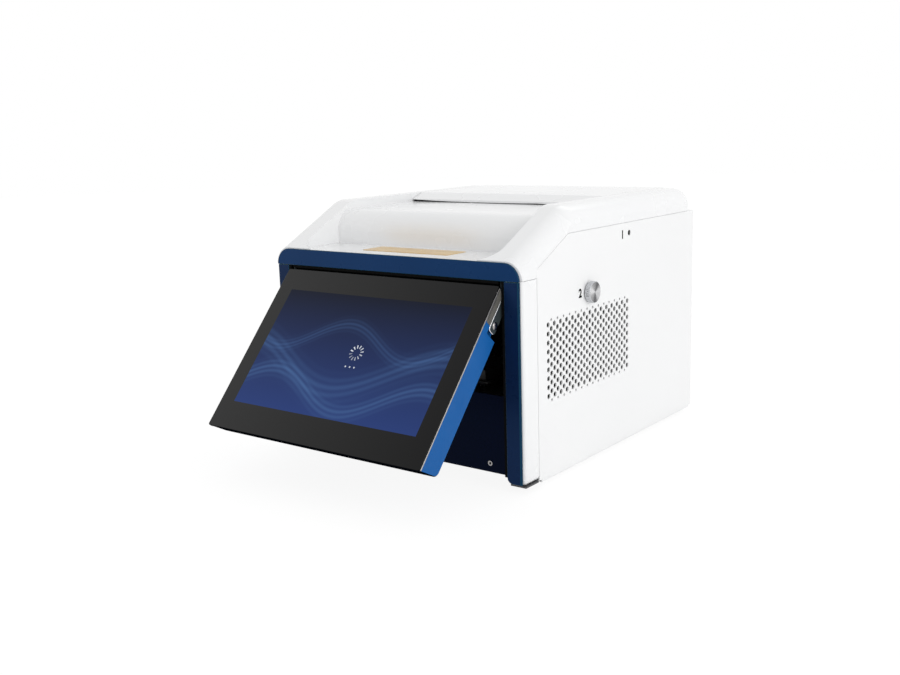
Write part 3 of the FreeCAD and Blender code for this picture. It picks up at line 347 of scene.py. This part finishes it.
# breaks a piece's hard edges, in its own finish or in the material numbered rim
def soften(piece, width, segments=2, rim=-1):
    bevel = piece.modifiers.new("edges", "BEVEL")
    bevel.width = width / 1000
    bevel.segments = segments
    bevel.limit_method = "ANGLE"
    bevel.angle_limit = math.radians(edges["hard"])
    bevel.use_clamp_overlap = True
    bevel.material = rim
    even = piece.modifiers.new("normals", "WEIGHTED_NORMAL")
    even.keep_sharp = True
    even.weight = edges["weight"]


# a merged copy of a CAD piece with its hard edges broken, in the rim's finish where one is given
def dress(node, width, rim=None):
    bm = bmesh.new()
    bm.from_mesh(frame["nodes"][node].data)
    bmesh.ops.remove_doubles(bm, verts=bm.verts, dist=edges["weld"])
    bmesh.ops.dissolve_limit(bm, angle_limit=math.radians(edges["flat"]), verts=bm.verts, edges=bm.edges)
    mesh = meshOf(bm, node + "Dressed", edges["sharp"])
    look = finishOf.get(node, looks[slotOf[node]])
    finishes = [look.material] + ([rim.material] if rim else [])
    piece = finishPiece(mesh, node + "Dressed", bodyOf[node], finishes, [node])
    soften(piece, width, rim=1 if rim else -1)
    return piece


# pulls all faces into a plate and gives the corners that moved
def pull(bm, way):
    grown = bmesh.ops.extrude_face_region(bm, geom=bm.faces[:])
    moved = [item for item in grown["geom"] if isinstance(item, bmesh.types.BMVert)]
    bmesh.ops.translate(bm, verts=moved, vec=way)
    return moved


def roundCorners(bm, corners, radius, segments=6):
    bmesh.ops.bevel(bm, geom=corners, affect="VERTICES", offset=radius / 1000, segments=segments, profile=0.5,
                    material=-1)


def addBlock(bm, low, high):
    place = Matrix.Translation((low + high) / 2) @ Matrix.Diagonal((*(high - low), 1))
    bmesh.ops.create_cube(bm, size=1, matrix=place)


# a curve or text as a mesh
def drawnMesh(curve):
    drawn = bpy.data.objects.new(curve.name, curve)
    scene.collection.objects.link(drawn)
    bpy.context.view_layer.update()
    mesh = bpy.data.meshes.new_from_object(drawn)
    bpy.data.objects.remove(drawn)
    return mesh


# the blue frame's broken edges take the lighter teal navy, a painted highlight along each edge
for node in ("bezel_top", "bezel_left", "bezel_right"):
    dress(node, 0.5, rim=extra["navyEdgeHighlight"])
edgeWidths = {
    "column_left": 0.5, "column_right": 0.5, "side_panel_left": 0.25, "lower_front_panel": 0.3,
    "rear_panel": 0.25, "base_tray": 0.4, "hinge_block_left": 0.2, "hinge_block_right": 0.2, "iec_inlet": 0.4,
    "power_rocker": 0.4, "tray_plate": 0.4, "heater_block_left": 0.4, "heater_block_right": 0.4,
}
for node, width in edgeWidths.items():
    dress(node, width)
print("case pieces dressed")


# the door is drawn closed about its pivot: x across, y back from the pivot, z up
door = {"pivot": (0, 6.5, 211.0), "open": 41.3, "glassFront": -4.63, "glassTop": -8.2, "half": 148.4,
        "length": 205.7, "glassThick": 2.0, "corner": 2.0, "shellDown": -0.35, "glassDown": -0.5}
swing = Matrix.Translation(spot(*door["pivot"])) @ Matrix.Rotation(-math.radians(door["open"]), 4, "X")


# the blue shell and the silver trim before it; what faces down is in the door's shade, so it is painted near
# black
def makeDoorFrame():
    upright = swing.to_3x3().inverted()
    for node, width in (("door_shell", 0.5), ("door_trim", 0.3)):
        piece = dress(node, width)
        piece.data.materials.append(extra["undersideShade"].material)
        for face in piece.data.polygons:
            if (upright @ face.normal).z < door["shellDown"]:
                face.material_index = 1


# a closed outline in the door's own y and z, made a plate between two x places, with some corners rounded
def doorPlate(outline, low, high, rounded=(), radius=0.0):
    bm = bmesh.new()
    verts = [bm.verts.new((low / 1000, y / 1000, z / 1000)) for y, z in outline]
    bm.faces.new(verts)
    for number in rounded:
        roundCorners(bm, [verts[number]], radius)
    pull(bm, ((high - low) / 1000, 0, 0))
    bmesh.ops.recalc_face_normals(bm, faces=bm.faces[:])
    return bm


# a plate with a bright rolled edge, its domed bolt, a ribbed strip in front of it and a blue cheek below
def makeHinge(side, sign):
    plate = {"out": 147.2, "thick": 1.8, "front": 9.0, "back": 20.8, "top": -14.0, "foot": -51.2,
             "corner": 3.2, "slope": 7.0, "tip": ((-1.6, -2.5), (2.6, 1.5)), "pin": 3.0}
    wire = {"radius": 0.7, "above": 2.5, "steps": 6}
    bolt = {"y": 16.2, "z": -42.6, "radius": 4.3, "dome": 1.5}
    strip = {"in": 147.25, "out": 147.75, "front": -1.0, "back": 7.7, "top": -9.6, "foot": -47.4,
             "pitch": 1.95, "wide": 1.0, "short": 0.2, "proud": 0.4}
    cheek = {"in": 145.6, "out": 147.8, "back": 8.0, "foot": -57.5, "gap": 0.3}
    node = side.lower()
    outer = sign * plate["out"]
    inner = sign * (plate["out"] - plate["thick"])
    outline = [plate["tip"][0], (plate["front"], plate["top"]), (plate["front"], plate["foot"]),
               (plate["back"], plate["foot"]), (plate["back"], plate["top"] - plate["slope"]),
               plate["tip"][1]]
    bm = doorPlate(outline, inner, outer, (2, 3), plate["corner"])
    bmesh.ops.create_cone(bm, cap_ends=True, segments=28, radius1=plate["pin"] / 1000,
                          radius2=plate["pin"] / 1000, depth=plate["thick"] / 1000,
                          matrix=Matrix.Translation(((inner + outer) / 2000, 0, 0)) @ alongX)
    bmesh.ops.transform(bm, matrix=swing, verts=bm.verts)
    piece = finishPiece(meshOf(bm, "hingePlate" + side), "hingePlate" + side, "door",
                        [extra["plateGrey"].material], ["hinge_arm_" + node])
    soften(piece, 0.2)

    curve = bpy.data.curves.new("hingeEdge" + side, "CURVE")
    curve.dimensions = "3D"
    curve.bevel_depth = wire["radius"] / 1000
    curve.bevel_resolution = 3
    curve.use_fill_caps = True
    bend = plate["corner"]
    route = [(plate["front"], plate["top"] - wire["above"])]
    for step in range(wire["steps"] + 1):
        around = math.radians(180 + 90 * step / wire["steps"])
        route.append((plate["front"] + bend * (1 + math.cos(around)),
                      plate["foot"] + bend * (1 + math.sin(around))))
    route.append((plate["back"] - bend, plate["foot"]))
    line = curve.splines.new("POLY")
    line.points.add(len(route) - 1)
    for point, (y, z) in zip(line.points, route):
        point.co = (outer / 1000, y / 1000, z / 1000, 1)
    mesh = drawnMesh(curve)
    mesh.transform(swing)
    finishPiece(mesh, "hingeEdge" + side, "door", [looks["chrome"].material])

    bm = bmesh.new()
    bmesh.ops.create_uvsphere(bm, u_segments=32, v_segments=16, radius=1, matrix=alongX)
    bmesh.ops.bisect_plane(bm, geom=bm.verts[:] + bm.edges[:] + bm.faces[:], plane_co=(0, 0, 0),
                           plane_no=(-sign, 0, 0), clear_outer=True)
    bmesh.ops.holes_fill(bm, edges=[edge for edge in bm.edges if edge.is_boundary])
    bmesh.ops.scale(bm, verts=bm.verts, vec=Vector((bolt["dome"], bolt["radius"], bolt["radius"])) / 1000)
    bmesh.ops.translate(bm, verts=bm.verts, vec=(outer / 1000, bolt["y"] / 1000, bolt["z"] / 1000))
    bmesh.ops.recalc_face_normals(bm, faces=bm.faces[:])
    bmesh.ops.transform(bm, matrix=swing, verts=bm.verts)
    finishPiece(meshOf(bm, "hingeBolt" + side, 50), "hingeBolt" + side, "door",
                [extra["darkSteel"].material], ["hinge_bolt_" + node])

    outline = [(strip["front"], strip["top"]), (strip["front"], strip["foot"]),
               (strip["back"], strip["foot"]), (strip["back"], strip["top"])]
    bm = doorPlate(outline, sign * strip["in"], sign * strip["out"])
    half = (strip["back"] - strip["front"]) / 2
    reach = Vector((strip["proud"], half - strip["short"], strip["wide"] / 2)) / 1000
    level = strip["foot"] + strip["pitch"] / 2
    while level < strip["top"]:
        middle = Vector((sign * strip["out"], strip["front"] + half, level)) / 1000
        addBlock(bm, middle - reach, middle + reach)
        level += strip["pitch"]
    bmesh.ops.transform(bm, matrix=swing, verts=bm.verts)
    finishPiece(meshOf(bm, "hingeRibs" + side), "hingeRibs" + side, "door",
                [extra["ribGrey"].material])

    outline = [(strip["front"], strip["foot"] - cheek["gap"]), (strip["front"], cheek["foot"]),
               (cheek["back"], cheek["foot"]), (cheek["back"], strip["foot"] - cheek["gap"])]
    bm = doorPlate(outline, sign * cheek["in"], sign * cheek["out"])
    bmesh.ops.transform(bm, matrix=swing, verts=bm.verts)
    finishPiece(meshOf(bm, "hingeCheek" + side), "hingeCheek" + side, "door",
                [looks["door_blue"].material])


# the lit picture, in millimetres from its lower left corner
# a ribbon is its level, height, rate, shift, width and strength
picture = {
    "wide": 256.0, "high": 146.0, "low": (0.0180, 0.0420, 0.1700), "top": (0.0040, 0.0066, 0.0185),
    "ribbons": ((28.0, 20.0, 0.030, 0.4, 9.0, 0.55), (58.0, 26.0, 0.022, 2.1, 13.0, 0.40),
                (92.0, 18.0, 0.034, 4.0, 7.0, 0.30)), "band": (0.055, 0.125, 0.300),
    "grain": (9.0, 0.35, 0.65), "mark": (0.85, 0.90, 0.95), "middle": (137.0, 78.0), "ring": (5.2, 9.2),
    "ticks": 12, "tick": 0.17, "fade": (0.055, 0.25), "dots": (-6.0, 0.0, 6.0), "dotsBelow": 17.0, "dot": 0.7,
}


# a blue gradient, faint flowing bands, a ring of ticks and three dots
def screenLook():
    look = Look("screenPicture", (0.002, 0.002, 0.003), 0.07)
    look.rough(look.noise(25, 4), 0.05, 0.10)
    uv = look.nodes.new("ShaderNodeUVMap")
    uv.uv_map = "screen"
    parts = look.parts(uv.outputs["UV"])
    across = look.times(parts["X"], picture["wide"])
    up = look.times(parts["Y"], picture["high"])
    base = look.blend(look.spread(parts["Y"], 1.0, 0.0, 0.0, 1.0), picture["top"], picture["low"])
    glow = 0.0
    waves, swell, rest = picture["grain"]
    for level, height, rate, shift, width, strength in picture["ribbons"]:
        wave = look.math("SINE", look.plus(look.times(across, rate), shift))
        line = look.plus(look.times(wave, height), level)
        apart = look.math("DIVIDE", look.minus(up, line), width)
        fall = look.math("EXPONENT", look.times(look.square(apart), -1.0))
        grain = look.plus(look.times(look.math("SINE", look.times(apart, waves)), swell), rest)
        glow = look.plus(look.times(look.times(fall, grain), strength), glow)
    banded = look.blend(glow, base, picture["band"])
    aside = look.minus(across, picture["middle"][0])
    above = look.minus(up, picture["middle"][1])
    reach = look.math("SQRT", look.plus(look.square(aside), look.square(above)))
    turn = look.math("DIVIDE", look.math("ARCTAN2", above, aside), 2 * math.pi / picture["ticks"])
    inTurn = look.math("FRACT", look.plus(turn, 2 * picture["ticks"]))
    tick = look.math("LESS_THAN", look.math("ABSOLUTE", look.minus(inTurn, 0.5)), picture["tick"])
    inner, outer = picture["ring"]
    ring = look.times(look.math("GREATER_THAN", reach, inner), look.math("LESS_THAN", reach, outer))
    rate, faintest = picture["fade"]
    fade = look.plus(look.times(look.plus(turn, picture["ticks"] / 2), rate), faintest)
    marks = look.times(look.times(tick, ring), fade)
    below = look.plus(above, picture["dotsBelow"])
    for offset in picture["dots"]:
        gap = look.plus(look.square(look.minus(aside, offset)), look.square(below))
        marks = look.plus(marks, look.times(look.math("LESS_THAN", gap, 1.0), picture["dot"]))
    look.join(look.blend(marks, banded, picture["mark"]), look.shader.inputs["Emission Color"])
    look.set(Emission_Strength=1.0, Specular_IOR_Level=0.08)
    return look


# cover glass with its lit area marked out; the picture's place is in the UV map
def makeDoorGlass():
    lit = {"half": 128.0, "top": 27.1, "high": 146.2}
    bm = bmesh.new()
    bmesh.ops.create_grid(bm, x_segments=1, y_segments=1, size=0.5)
    bmesh.ops.scale(bm, verts=bm.verts, vec=(door["half"] / 500, door["length"] / 1000, 1))
    roundCorners(bm, bm.verts[:], door["corner"])
    middle = door["glassTop"] - door["length"] / 2
    high = (door["glassTop"] - lit["top"] - middle) / 1000
    low = high - lit["high"] / 1000
    for place, normal in (((lit["half"] / 1000, 0, 0), (1, 0, 0)), ((-lit["half"] / 1000, 0, 0), (1, 0, 0)),
                          ((0, high, 0), (0, 1, 0)), ((0, low, 0), (0, 1, 0))):
        bmesh.ops.bisect_plane(bm, geom=bm.verts[:] + bm.edges[:] + bm.faces[:], plane_co=place,
                               plane_no=normal)
    uv = bm.loops.layers.uv.new("screen")
    for face in bm.faces:
        center = face.calc_center_median()
        if abs(center.x) < lit["half"] / 1000 and low < center.y < high:
            face.material_index = 1
        for loop in face.loops:
            loop[uv].uv = (loop.vert.co.x / (lit["half"] / 500) + 0.5, (loop.vert.co.y - low) / (high - low))
    back = pull(bm, (0, 0, -door["glassThick"] / 1000))
    for face in bm.faces:
        if all(vert in back for vert in face.verts):
            face.material_index = 0
    bmesh.ops.recalc_face_normals(bm, faces=bm.faces[:])
    bmesh.ops.transform(bm, matrix=facing, verts=bm.verts)
    bm.normal_update()
    # glass faces that look down are painted near black, as the door's shade
    for face in bm.faces:
        if face.normal.z < door["glassDown"]:
            face.material_index = 2
    bmesh.ops.translate(bm, verts=bm.verts, vec=(0, door["glassFront"] / 1000, middle / 1000))
    bmesh.ops.transform(bm, matrix=swing, verts=bm.verts)
    piece = finishPiece(meshOf(bm, "doorGlass", 40), "doorGlass", "door",
                        [looks["screen_glass"].material, screenLook().material, extra["undersideShade"].material],
                        ["door_glass"])
    soften(piece, 0.35, 3)


# a bare plate on the floor of the cover's hollow
def makeAmberPlate():
    plate = {"from": (-58.0, 25.0), "to": (63.0, 59.0), "on": 230.9, "thick": 0.5, "corner": 2.0}
    low, high = spot(*plate["from"], plate["on"]), spot(*plate["to"], plate["on"] + plate["thick"])
    bm = bmesh.new()
    bmesh.ops.create_grid(bm, x_segments=1, y_segments=1, size=0.5)
    bmesh.ops.scale(bm, verts=bm.verts, vec=(high.x - low.x, high.y - low.y, 1))
    roundCorners(bm, bm.verts[:], plate["corner"], 4)
    pull(bm, (0, 0, high.z - low.z))
    bmesh.ops.recalc_face_normals(bm, faces=bm.faces[:])
    bmesh.ops.translate(bm, verts=bm.verts, vec=((low.x + high.x) / 2, (low.y + high.y) / 2, low.z))
    piece = finishPiece(meshOf(bm, "amberPlate"), "amberPlate", "case",
                        [extra["amber"].material])
    soften(piece, 0.15)


# plain numbers beside the lock hole and the thumb screw
def makeSideNumbers():
    number = {"out": 173.43, "high": 9.0, "capital": 0.7, "thick": 0.03, "bold": 0.5}
    outward = Matrix(((0, 0, 1, 0), (1, 0, 0, 0), (0, 1, 0, 0), (0, 0, 0, 1)))
    for text, y, z in (("1", 206.5, 239.0), ("2", 112.9, 185.3)):
        curve = bpy.data.curves.new("number" + text, "FONT")
        curve.body = text
        curve.size = number["high"] / 1000 / number["capital"]
        curve.align_x = "CENTER"
        curve.align_y = "CENTER"
        curve.extrude = number["thick"] / 1000
        curve.offset = number["bold"] / 1000
        mesh = drawnMesh(curve)
        mesh.transform(Matrix.Translation(spot(number["out"], y, z)) @ outward)
        finishPiece(mesh, "number" + text, "case", [extra["shade"].material])


knob = {"y": 131.5, "z": 185.0, "foot": 173.7, "flutes": 60, "face": 6.0, "rimLow": 1.5, "rimHigh": 7.0,
        "rimOut": 11.7, "groove": 0.978,
        "profile": ((3.1, 0.0), (9.6, 0.0), (9.8, 0.8), (11.1, 1.0), (11.8, 1.6), (11.8, 6.9), (11.1, 7.6),
                    (10.2, 7.7), (9.6, 7.45), (0.0, 7.35))}


# a face turned on a lathe: fine rings, and a painted sheen, bright and dark sectors in its colour that fan out
# from the middle
def spunSteelPaintedSheen():
    paintedSheen = {"turns": 2.0, "shift": 2.1, "ripples": 5.0, "ripple": 0.3, "reach": 1.1,
             "dark": (0.13, 0.13, 0.135), "bright": (0.70, 0.70, 0.71), "rings": 700}
    look = Look("spunSteelPaintedSheen", (0.60, 0.61, 0.63), 0.28, 1.0)
    middle = spot(0, knob["y"], knob["z"])
    apart = look.nodes.new("ShaderNodeVectorMath")
    apart.operation = "SUBTRACT"
    look.join(look.place, apart.inputs[0])
    apart.inputs[1].default_value = middle
    tangent = look.nodes.new("ShaderNodeVectorMath")
    tangent.operation = "CROSS_PRODUCT"
    tangent.inputs[0].default_value = (1, 0, 0)
    look.join(apart.outputs[0], tangent.inputs[1])
    look.join(tangent.outputs[0], look.shader.inputs["Tangent"])
    look.set(Anisotropic=0.85)
    parts = look.parts(apart.outputs[0])
    around = look.math("ARCTAN2", parts["Z"], parts["Y"])
    # bright and dark sectors painted into the colour by the angle around the middle: a painted sheen
    fan = look.math("SINE", look.plus(look.times(around, paintedSheen["turns"]), paintedSheen["shift"]))
    ripple = look.times(look.math("SINE", look.times(around, paintedSheen["ripples"])), paintedSheen["ripple"])
    paintedShine = look.spread(look.plus(fan, ripple), 0.0, 1.0, -paintedSheen["reach"], paintedSheen["reach"])
    look.join(look.blend(paintedShine, paintedSheen["dark"], paintedSheen["bright"]), look.shader.inputs["Base Color"])
    rings = look.nodes.new("ShaderNodeTexWave")
    rings.wave_type = "RINGS"
    rings.rings_direction = "X"
    rings.inputs["Scale"].default_value = paintedSheen["rings"]
    look.join(apart.outputs[0], rings.inputs["Vector"])
    look.rough(look.noise(300), 0.22, 0.34)
    return look.bump(rings.outputs["Fac"], 0.12, 0.00005)


# thumb screw: knurled rim, a dished face and a collar against the panel
def makeKnob():
    bm = bmesh.new()
    line = [bm.verts.new((high / 1000, 0, radius / 1000)) for radius, high in knob["profile"]]
    joined = [bm.edges.new(pair) for pair in zip(line, line[1:])]
    bmesh.ops.spin(bm, geom=line + joined, axis=(1, 0, 0), cent=(0, 0, 0), angle=2 * math.pi,
                   steps=2 * knob["flutes"], use_merge=True)
    bmesh.ops.remove_doubles(bm, verts=bm.verts, dist=0.000004)
    rim = [vert for vert in bm.verts if knob["rimLow"] < 1000 * vert.co.x < knob["rimHigh"]
           and 1000 * vert.co.yz.length > knob["rimOut"]]
    for vert in rim:
        step = round(math.atan2(vert.co.z, vert.co.y) / (math.pi / knob["flutes"]))
        if step % 2:
            vert.co.y *= knob["groove"]
            vert.co.z *= knob["groove"]
    bmesh.ops.recalc_face_normals(bm, faces=bm.faces[:])
    bmesh.ops.translate(bm, verts=bm.verts, vec=spot(knob["foot"], knob["y"], knob["z"]))
    fore = spot(knob["foot"] + knob["face"], 0, 0).x
    for face in bm.faces:
        if abs(face.normal.x) > 0.9 and face.calc_center_median().x > fore:
            face.material_index = 1
    finishPiece(meshOf(bm, "thumbScrew", 28), "thumbScrew", "knob",
                [looks["steel"].material, spunSteelPaintedSheen().material], ["side_knob"])


# the dark barrel behind the small hole, painted near black as the shade in the hole
def makeLock():
    barrel = {"at": (170.5, 222.4, 240.2), "radius": 3.22, "long": 4.0}
    bm = bmesh.new()
    bmesh.ops.create_cone(bm, cap_ends=True, segments=32, radius1=barrel["radius"] / 1000,
                          radius2=barrel["radius"] / 1000, depth=barrel["long"] / 1000, matrix=alongX)
    bmesh.ops.translate(bm, verts=bm.verts, vec=spot(*barrel["at"]))
    piece = finishPiece(meshOf(bm, "lockBarrel"), "lockBarrel", "case",
                        [extra["shade"].material])
    soften(piece, 0.2)


# the narrow dark gap under the lid: a strip set back in it, and a lip that bows down over it
def makeLidLip():
    lip = {"half": 136.0, "front": 213.1, "thick": 1.4, "under": 273.2, "floor": 270.0}
    gasket = {"setBack": 2.0, "thick": 1.4, "clear": 0.02}
    gaps = ((-lip["half"], 2.6), (-118.0, 2.1), (-100.0, 1.5), (-80.0, 1.1), (-40.0, 0.75), (0.0, 0.75),
            (30.0, 0.9), (55.0, 1.3), (68.0, 0.9), (72.0, 0.0), (lip["half"], 0.0))
    bm = bmesh.new()
    row = [bm.verts.new(spot(x, lip["front"], lip["floor"] + gap)) for x, gap in gaps]
    joined = [bm.edges.new(pair) for pair in zip(row, row[1:])]
    grown = bmesh.ops.extrude_edge_only(bm, edges=joined)
    for item in grown["geom"]:
        if isinstance(item, bmesh.types.BMVert):
            item.co.z = spot(0, 0, lip["under"]).z
    bmesh.ops.recalc_face_normals(bm, faces=bm.faces[:])
    bmesh.ops.solidify(bm, geom=bm.faces[:], thickness=-lip["thick"] / 1000)
    bmesh.ops.recalc_face_normals(bm, faces=bm.faces[:])
    finishPiece(meshOf(bm, "lidLip"), "lidLip", "case", [looks["white_cover"].material])
    front = lip["front"] + gasket["setBack"]
    bm = bmesh.new()
    addBlock(bm, spot(-lip["half"], front, lip["floor"] + gasket["clear"]),
             spot(lip["half"], front + gasket["thick"], lip["under"] - gasket["clear"]))
    finishPiece(meshOf(bm, "lidGasket"), "lidGasket", "case", [looks["rubber"].material])


# low heads on the lower panel, each with a socket painted near black as the shade in it
def makePanelScrews():
    screw = {"front": 32.9, "back": 33.6, "radius": 2.9, "rim": 1.45, "deep": 0.5, "taper": 0.1}
    for node in ("panel_screw_left", "panel_screw_right"):
        low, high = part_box(node)
        middle = (low + high) / 2
        bm = bmesh.new()
        bmesh.ops.create_circle(bm, cap_ends=True, radius=screw["radius"] / 1000, segments=30, matrix=facing)
        pull(bm, (0, (screw["front"] - screw["back"]) / 1000, 0))
        bmesh.ops.recalc_face_normals(bm, faces=bm.faces[:])
        front = min(bm.faces, key=lambda face: face.calc_center_median().y)
        bmesh.ops.inset_individual(bm, faces=[front], thickness=screw["rim"] / 1000, depth=0)
        bmesh.ops.inset_individual(bm, faces=[front], thickness=screw["taper"] / 1000,
                                   depth=-screw["deep"] / 1000)
        front.material_index = 1
        bmesh.ops.translate(bm, verts=bm.verts, vec=(middle.x, spot(0, screw["back"], 0).y, middle.z))
        piece = finishPiece(meshOf(bm, node + "Head"), node + "Head", "case",
                            [extra["darkSteel"].material, extra["shade"].material], [node])
        soften(piece, 0.15)


# dark strips under the front columns and a dark sheet inside each side panel, which the right one's holes
# show: both painted shade
def makeShadeStripsAndSheets():
    shadeStrip = {"thick": 1.8, "inset": 1.2}
    shadeSheet = {"out": 168.5, "thick": 0.8, "from": (40.0, 78.0), "to": (196.0, 176.0)}
    blocks = []
    for side in ("left", "right"):
        low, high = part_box("column_" + side)
        inset = shadeStrip["inset"] / 1000
        foot = low.z - shadeStrip["thick"] / 1000
        # a thin dark grey strip under the column: painted shade along its underside
        blocks.append(("columnShadeStrip" + side.title(), Vector((low.x + inset, low.y + inset, foot)),
                       Vector((high.x - inset / 2, high.y, low.z)), "rubber", extra["darkGrey"]))
        # a near-black sheet behind the panel: painted shade seen through the vent holes
        sign = -1 if side == "left" else 1
        ends = sorted((sign * shadeSheet["out"], sign * (shadeSheet["out"] - shadeSheet["thick"])))
        blocks.append(("ventShadeSheet" + side.title(), spot(ends[0], *shadeSheet["from"]),
                       spot(ends[1], *shadeSheet["to"]), "black_metal", extra["shade"]))
    for name, low, high, slot, look in blocks:
        bm = bmesh.new()
        addBlock(bm, low, high)
        finishPiece(meshOf(bm, name), name, "case", [look.material])


makeDoorFrame()
makeShadeStripsAndSheets()
makeHinge("Left", -1)
makeHinge("Right", 1)
makeLidLip()
makePanelScrews()
makeDoorGlass()
makeAmberPlate()
makeSideNumbers()
makeKnob()
makeLock()
print("door, hinges, lid lip, screws, shadeStrips, plate, numbers and thumb screw made")


# the floor, the backdrop and the light
studio = {"floor": 6.0, "world": 0.79, "room": 1.0, "shadow": 0.14, "floorGlow": 0.90}


# 1 for a camera, glossy or transmission ray, which sees the white room; 0 for one that lights a surface
def seesRoom(nodes, links):
    rays = nodes.new("ShaderNodeLightPath")
    total = rays.outputs["Is Camera Ray"]
    for kind in ("Is Glossy Ray", "Is Transmission Ray"):
        either = nodes.new("ShaderNodeMath")
        either.operation = "MAXIMUM"
        links.new(total, either.inputs[0])
        links.new(rays.outputs[kind], either.inputs[1])
        total = either.outputs[0]
    return total


def addStudio():
    world = bpy.data.worlds.new("studio")
    scene.world = world
    world.use_nodes = True
    nodes = world.node_tree.nodes
    links = world.node_tree.links
    nodes.clear()
    mixer = nodes.new("ShaderNodeMixShader")
    links.new(seesRoom(nodes, links), mixer.inputs["Fac"])
    for number, strength in ((1, studio["world"]), (2, studio["room"])):
        white = nodes.new("ShaderNodeBackground")
        white.inputs["Color"].default_value = (1, 1, 1, 1)
        white.inputs["Strength"].default_value = strength
        links.new(white.outputs[0], mixer.inputs[number])
    output = nodes.new("ShaderNodeOutputWorld")
    links.new(mixer.outputs[0], output.inputs["Surface"])

    bm = bmesh.new()
    bmesh.ops.create_circle(bm, cap_ends=True, radius=studio["floor"], segments=96)
    floor = bpy.data.objects.new("floor", meshOf(bm, "floor"))
    scene.collection.objects.link(floor)
    look = Look("floorWhite", (0.9, 0.9, 0.9), 0.9)
    look.set(Specular_IOR_Level=0.0)
    look.bump(look.noise(300), 0.02, 0.0005)
    pale = look.nodes.new("ShaderNodeBsdfDiffuse")
    pale.inputs["Color"].default_value = (studio["shadow"], studio["shadow"], studio["shadow"], 1)
    glow = look.nodes.new("ShaderNodeEmission")
    glow.inputs["Strength"].default_value = studio["floorGlow"]
    seen = look.nodes.new("ShaderNodeAddShader")
    look.join(pale.outputs[0], seen.inputs[0])
    look.join(glow.outputs[0], seen.inputs[1])
    either = look.nodes.new("ShaderNodeMixShader")
    look.join(seesRoom(look.nodes, look.links), either.inputs["Fac"])
    look.join(look.shader.outputs[0], either.inputs[1])
    look.join(seen.outputs[0], either.inputs[2])
    look.join(either.outputs[0], look.nodes["Material Output"].inputs["Surface"])
    floor.data.materials.append(look.material)


lamps = {
    "side": {"at": (2.6, -0.6, 0.9), "to": (0.1, 0.0, 0.14), "size": 1.3, "power": 19},
    "rear": {"at": (-0.2, 1.7, 2.1), "to": (0.0, 0.1, 0.28), "size": 1.4, "power": 5},
}


def addLamps():
    for name, lamp in lamps.items():
        data = bpy.data.lights.new(name, "AREA")
        data.shape = "SQUARE"
        data.size = lamp["size"]
        data.energy = lamp["power"]
        light = bpy.data.objects.new(name, data)
        scene.collection.objects.link(light)
        light.location = lamp["at"]
        way = Vector(lamp["to"]) - Vector(lamp["at"])
        light.rotation_euler = way.to_track_quat("-Z", "Y").to_euler()


addStudio()
addLamps()
scene.view_settings.view_transform = "Standard"
print("studio lit")
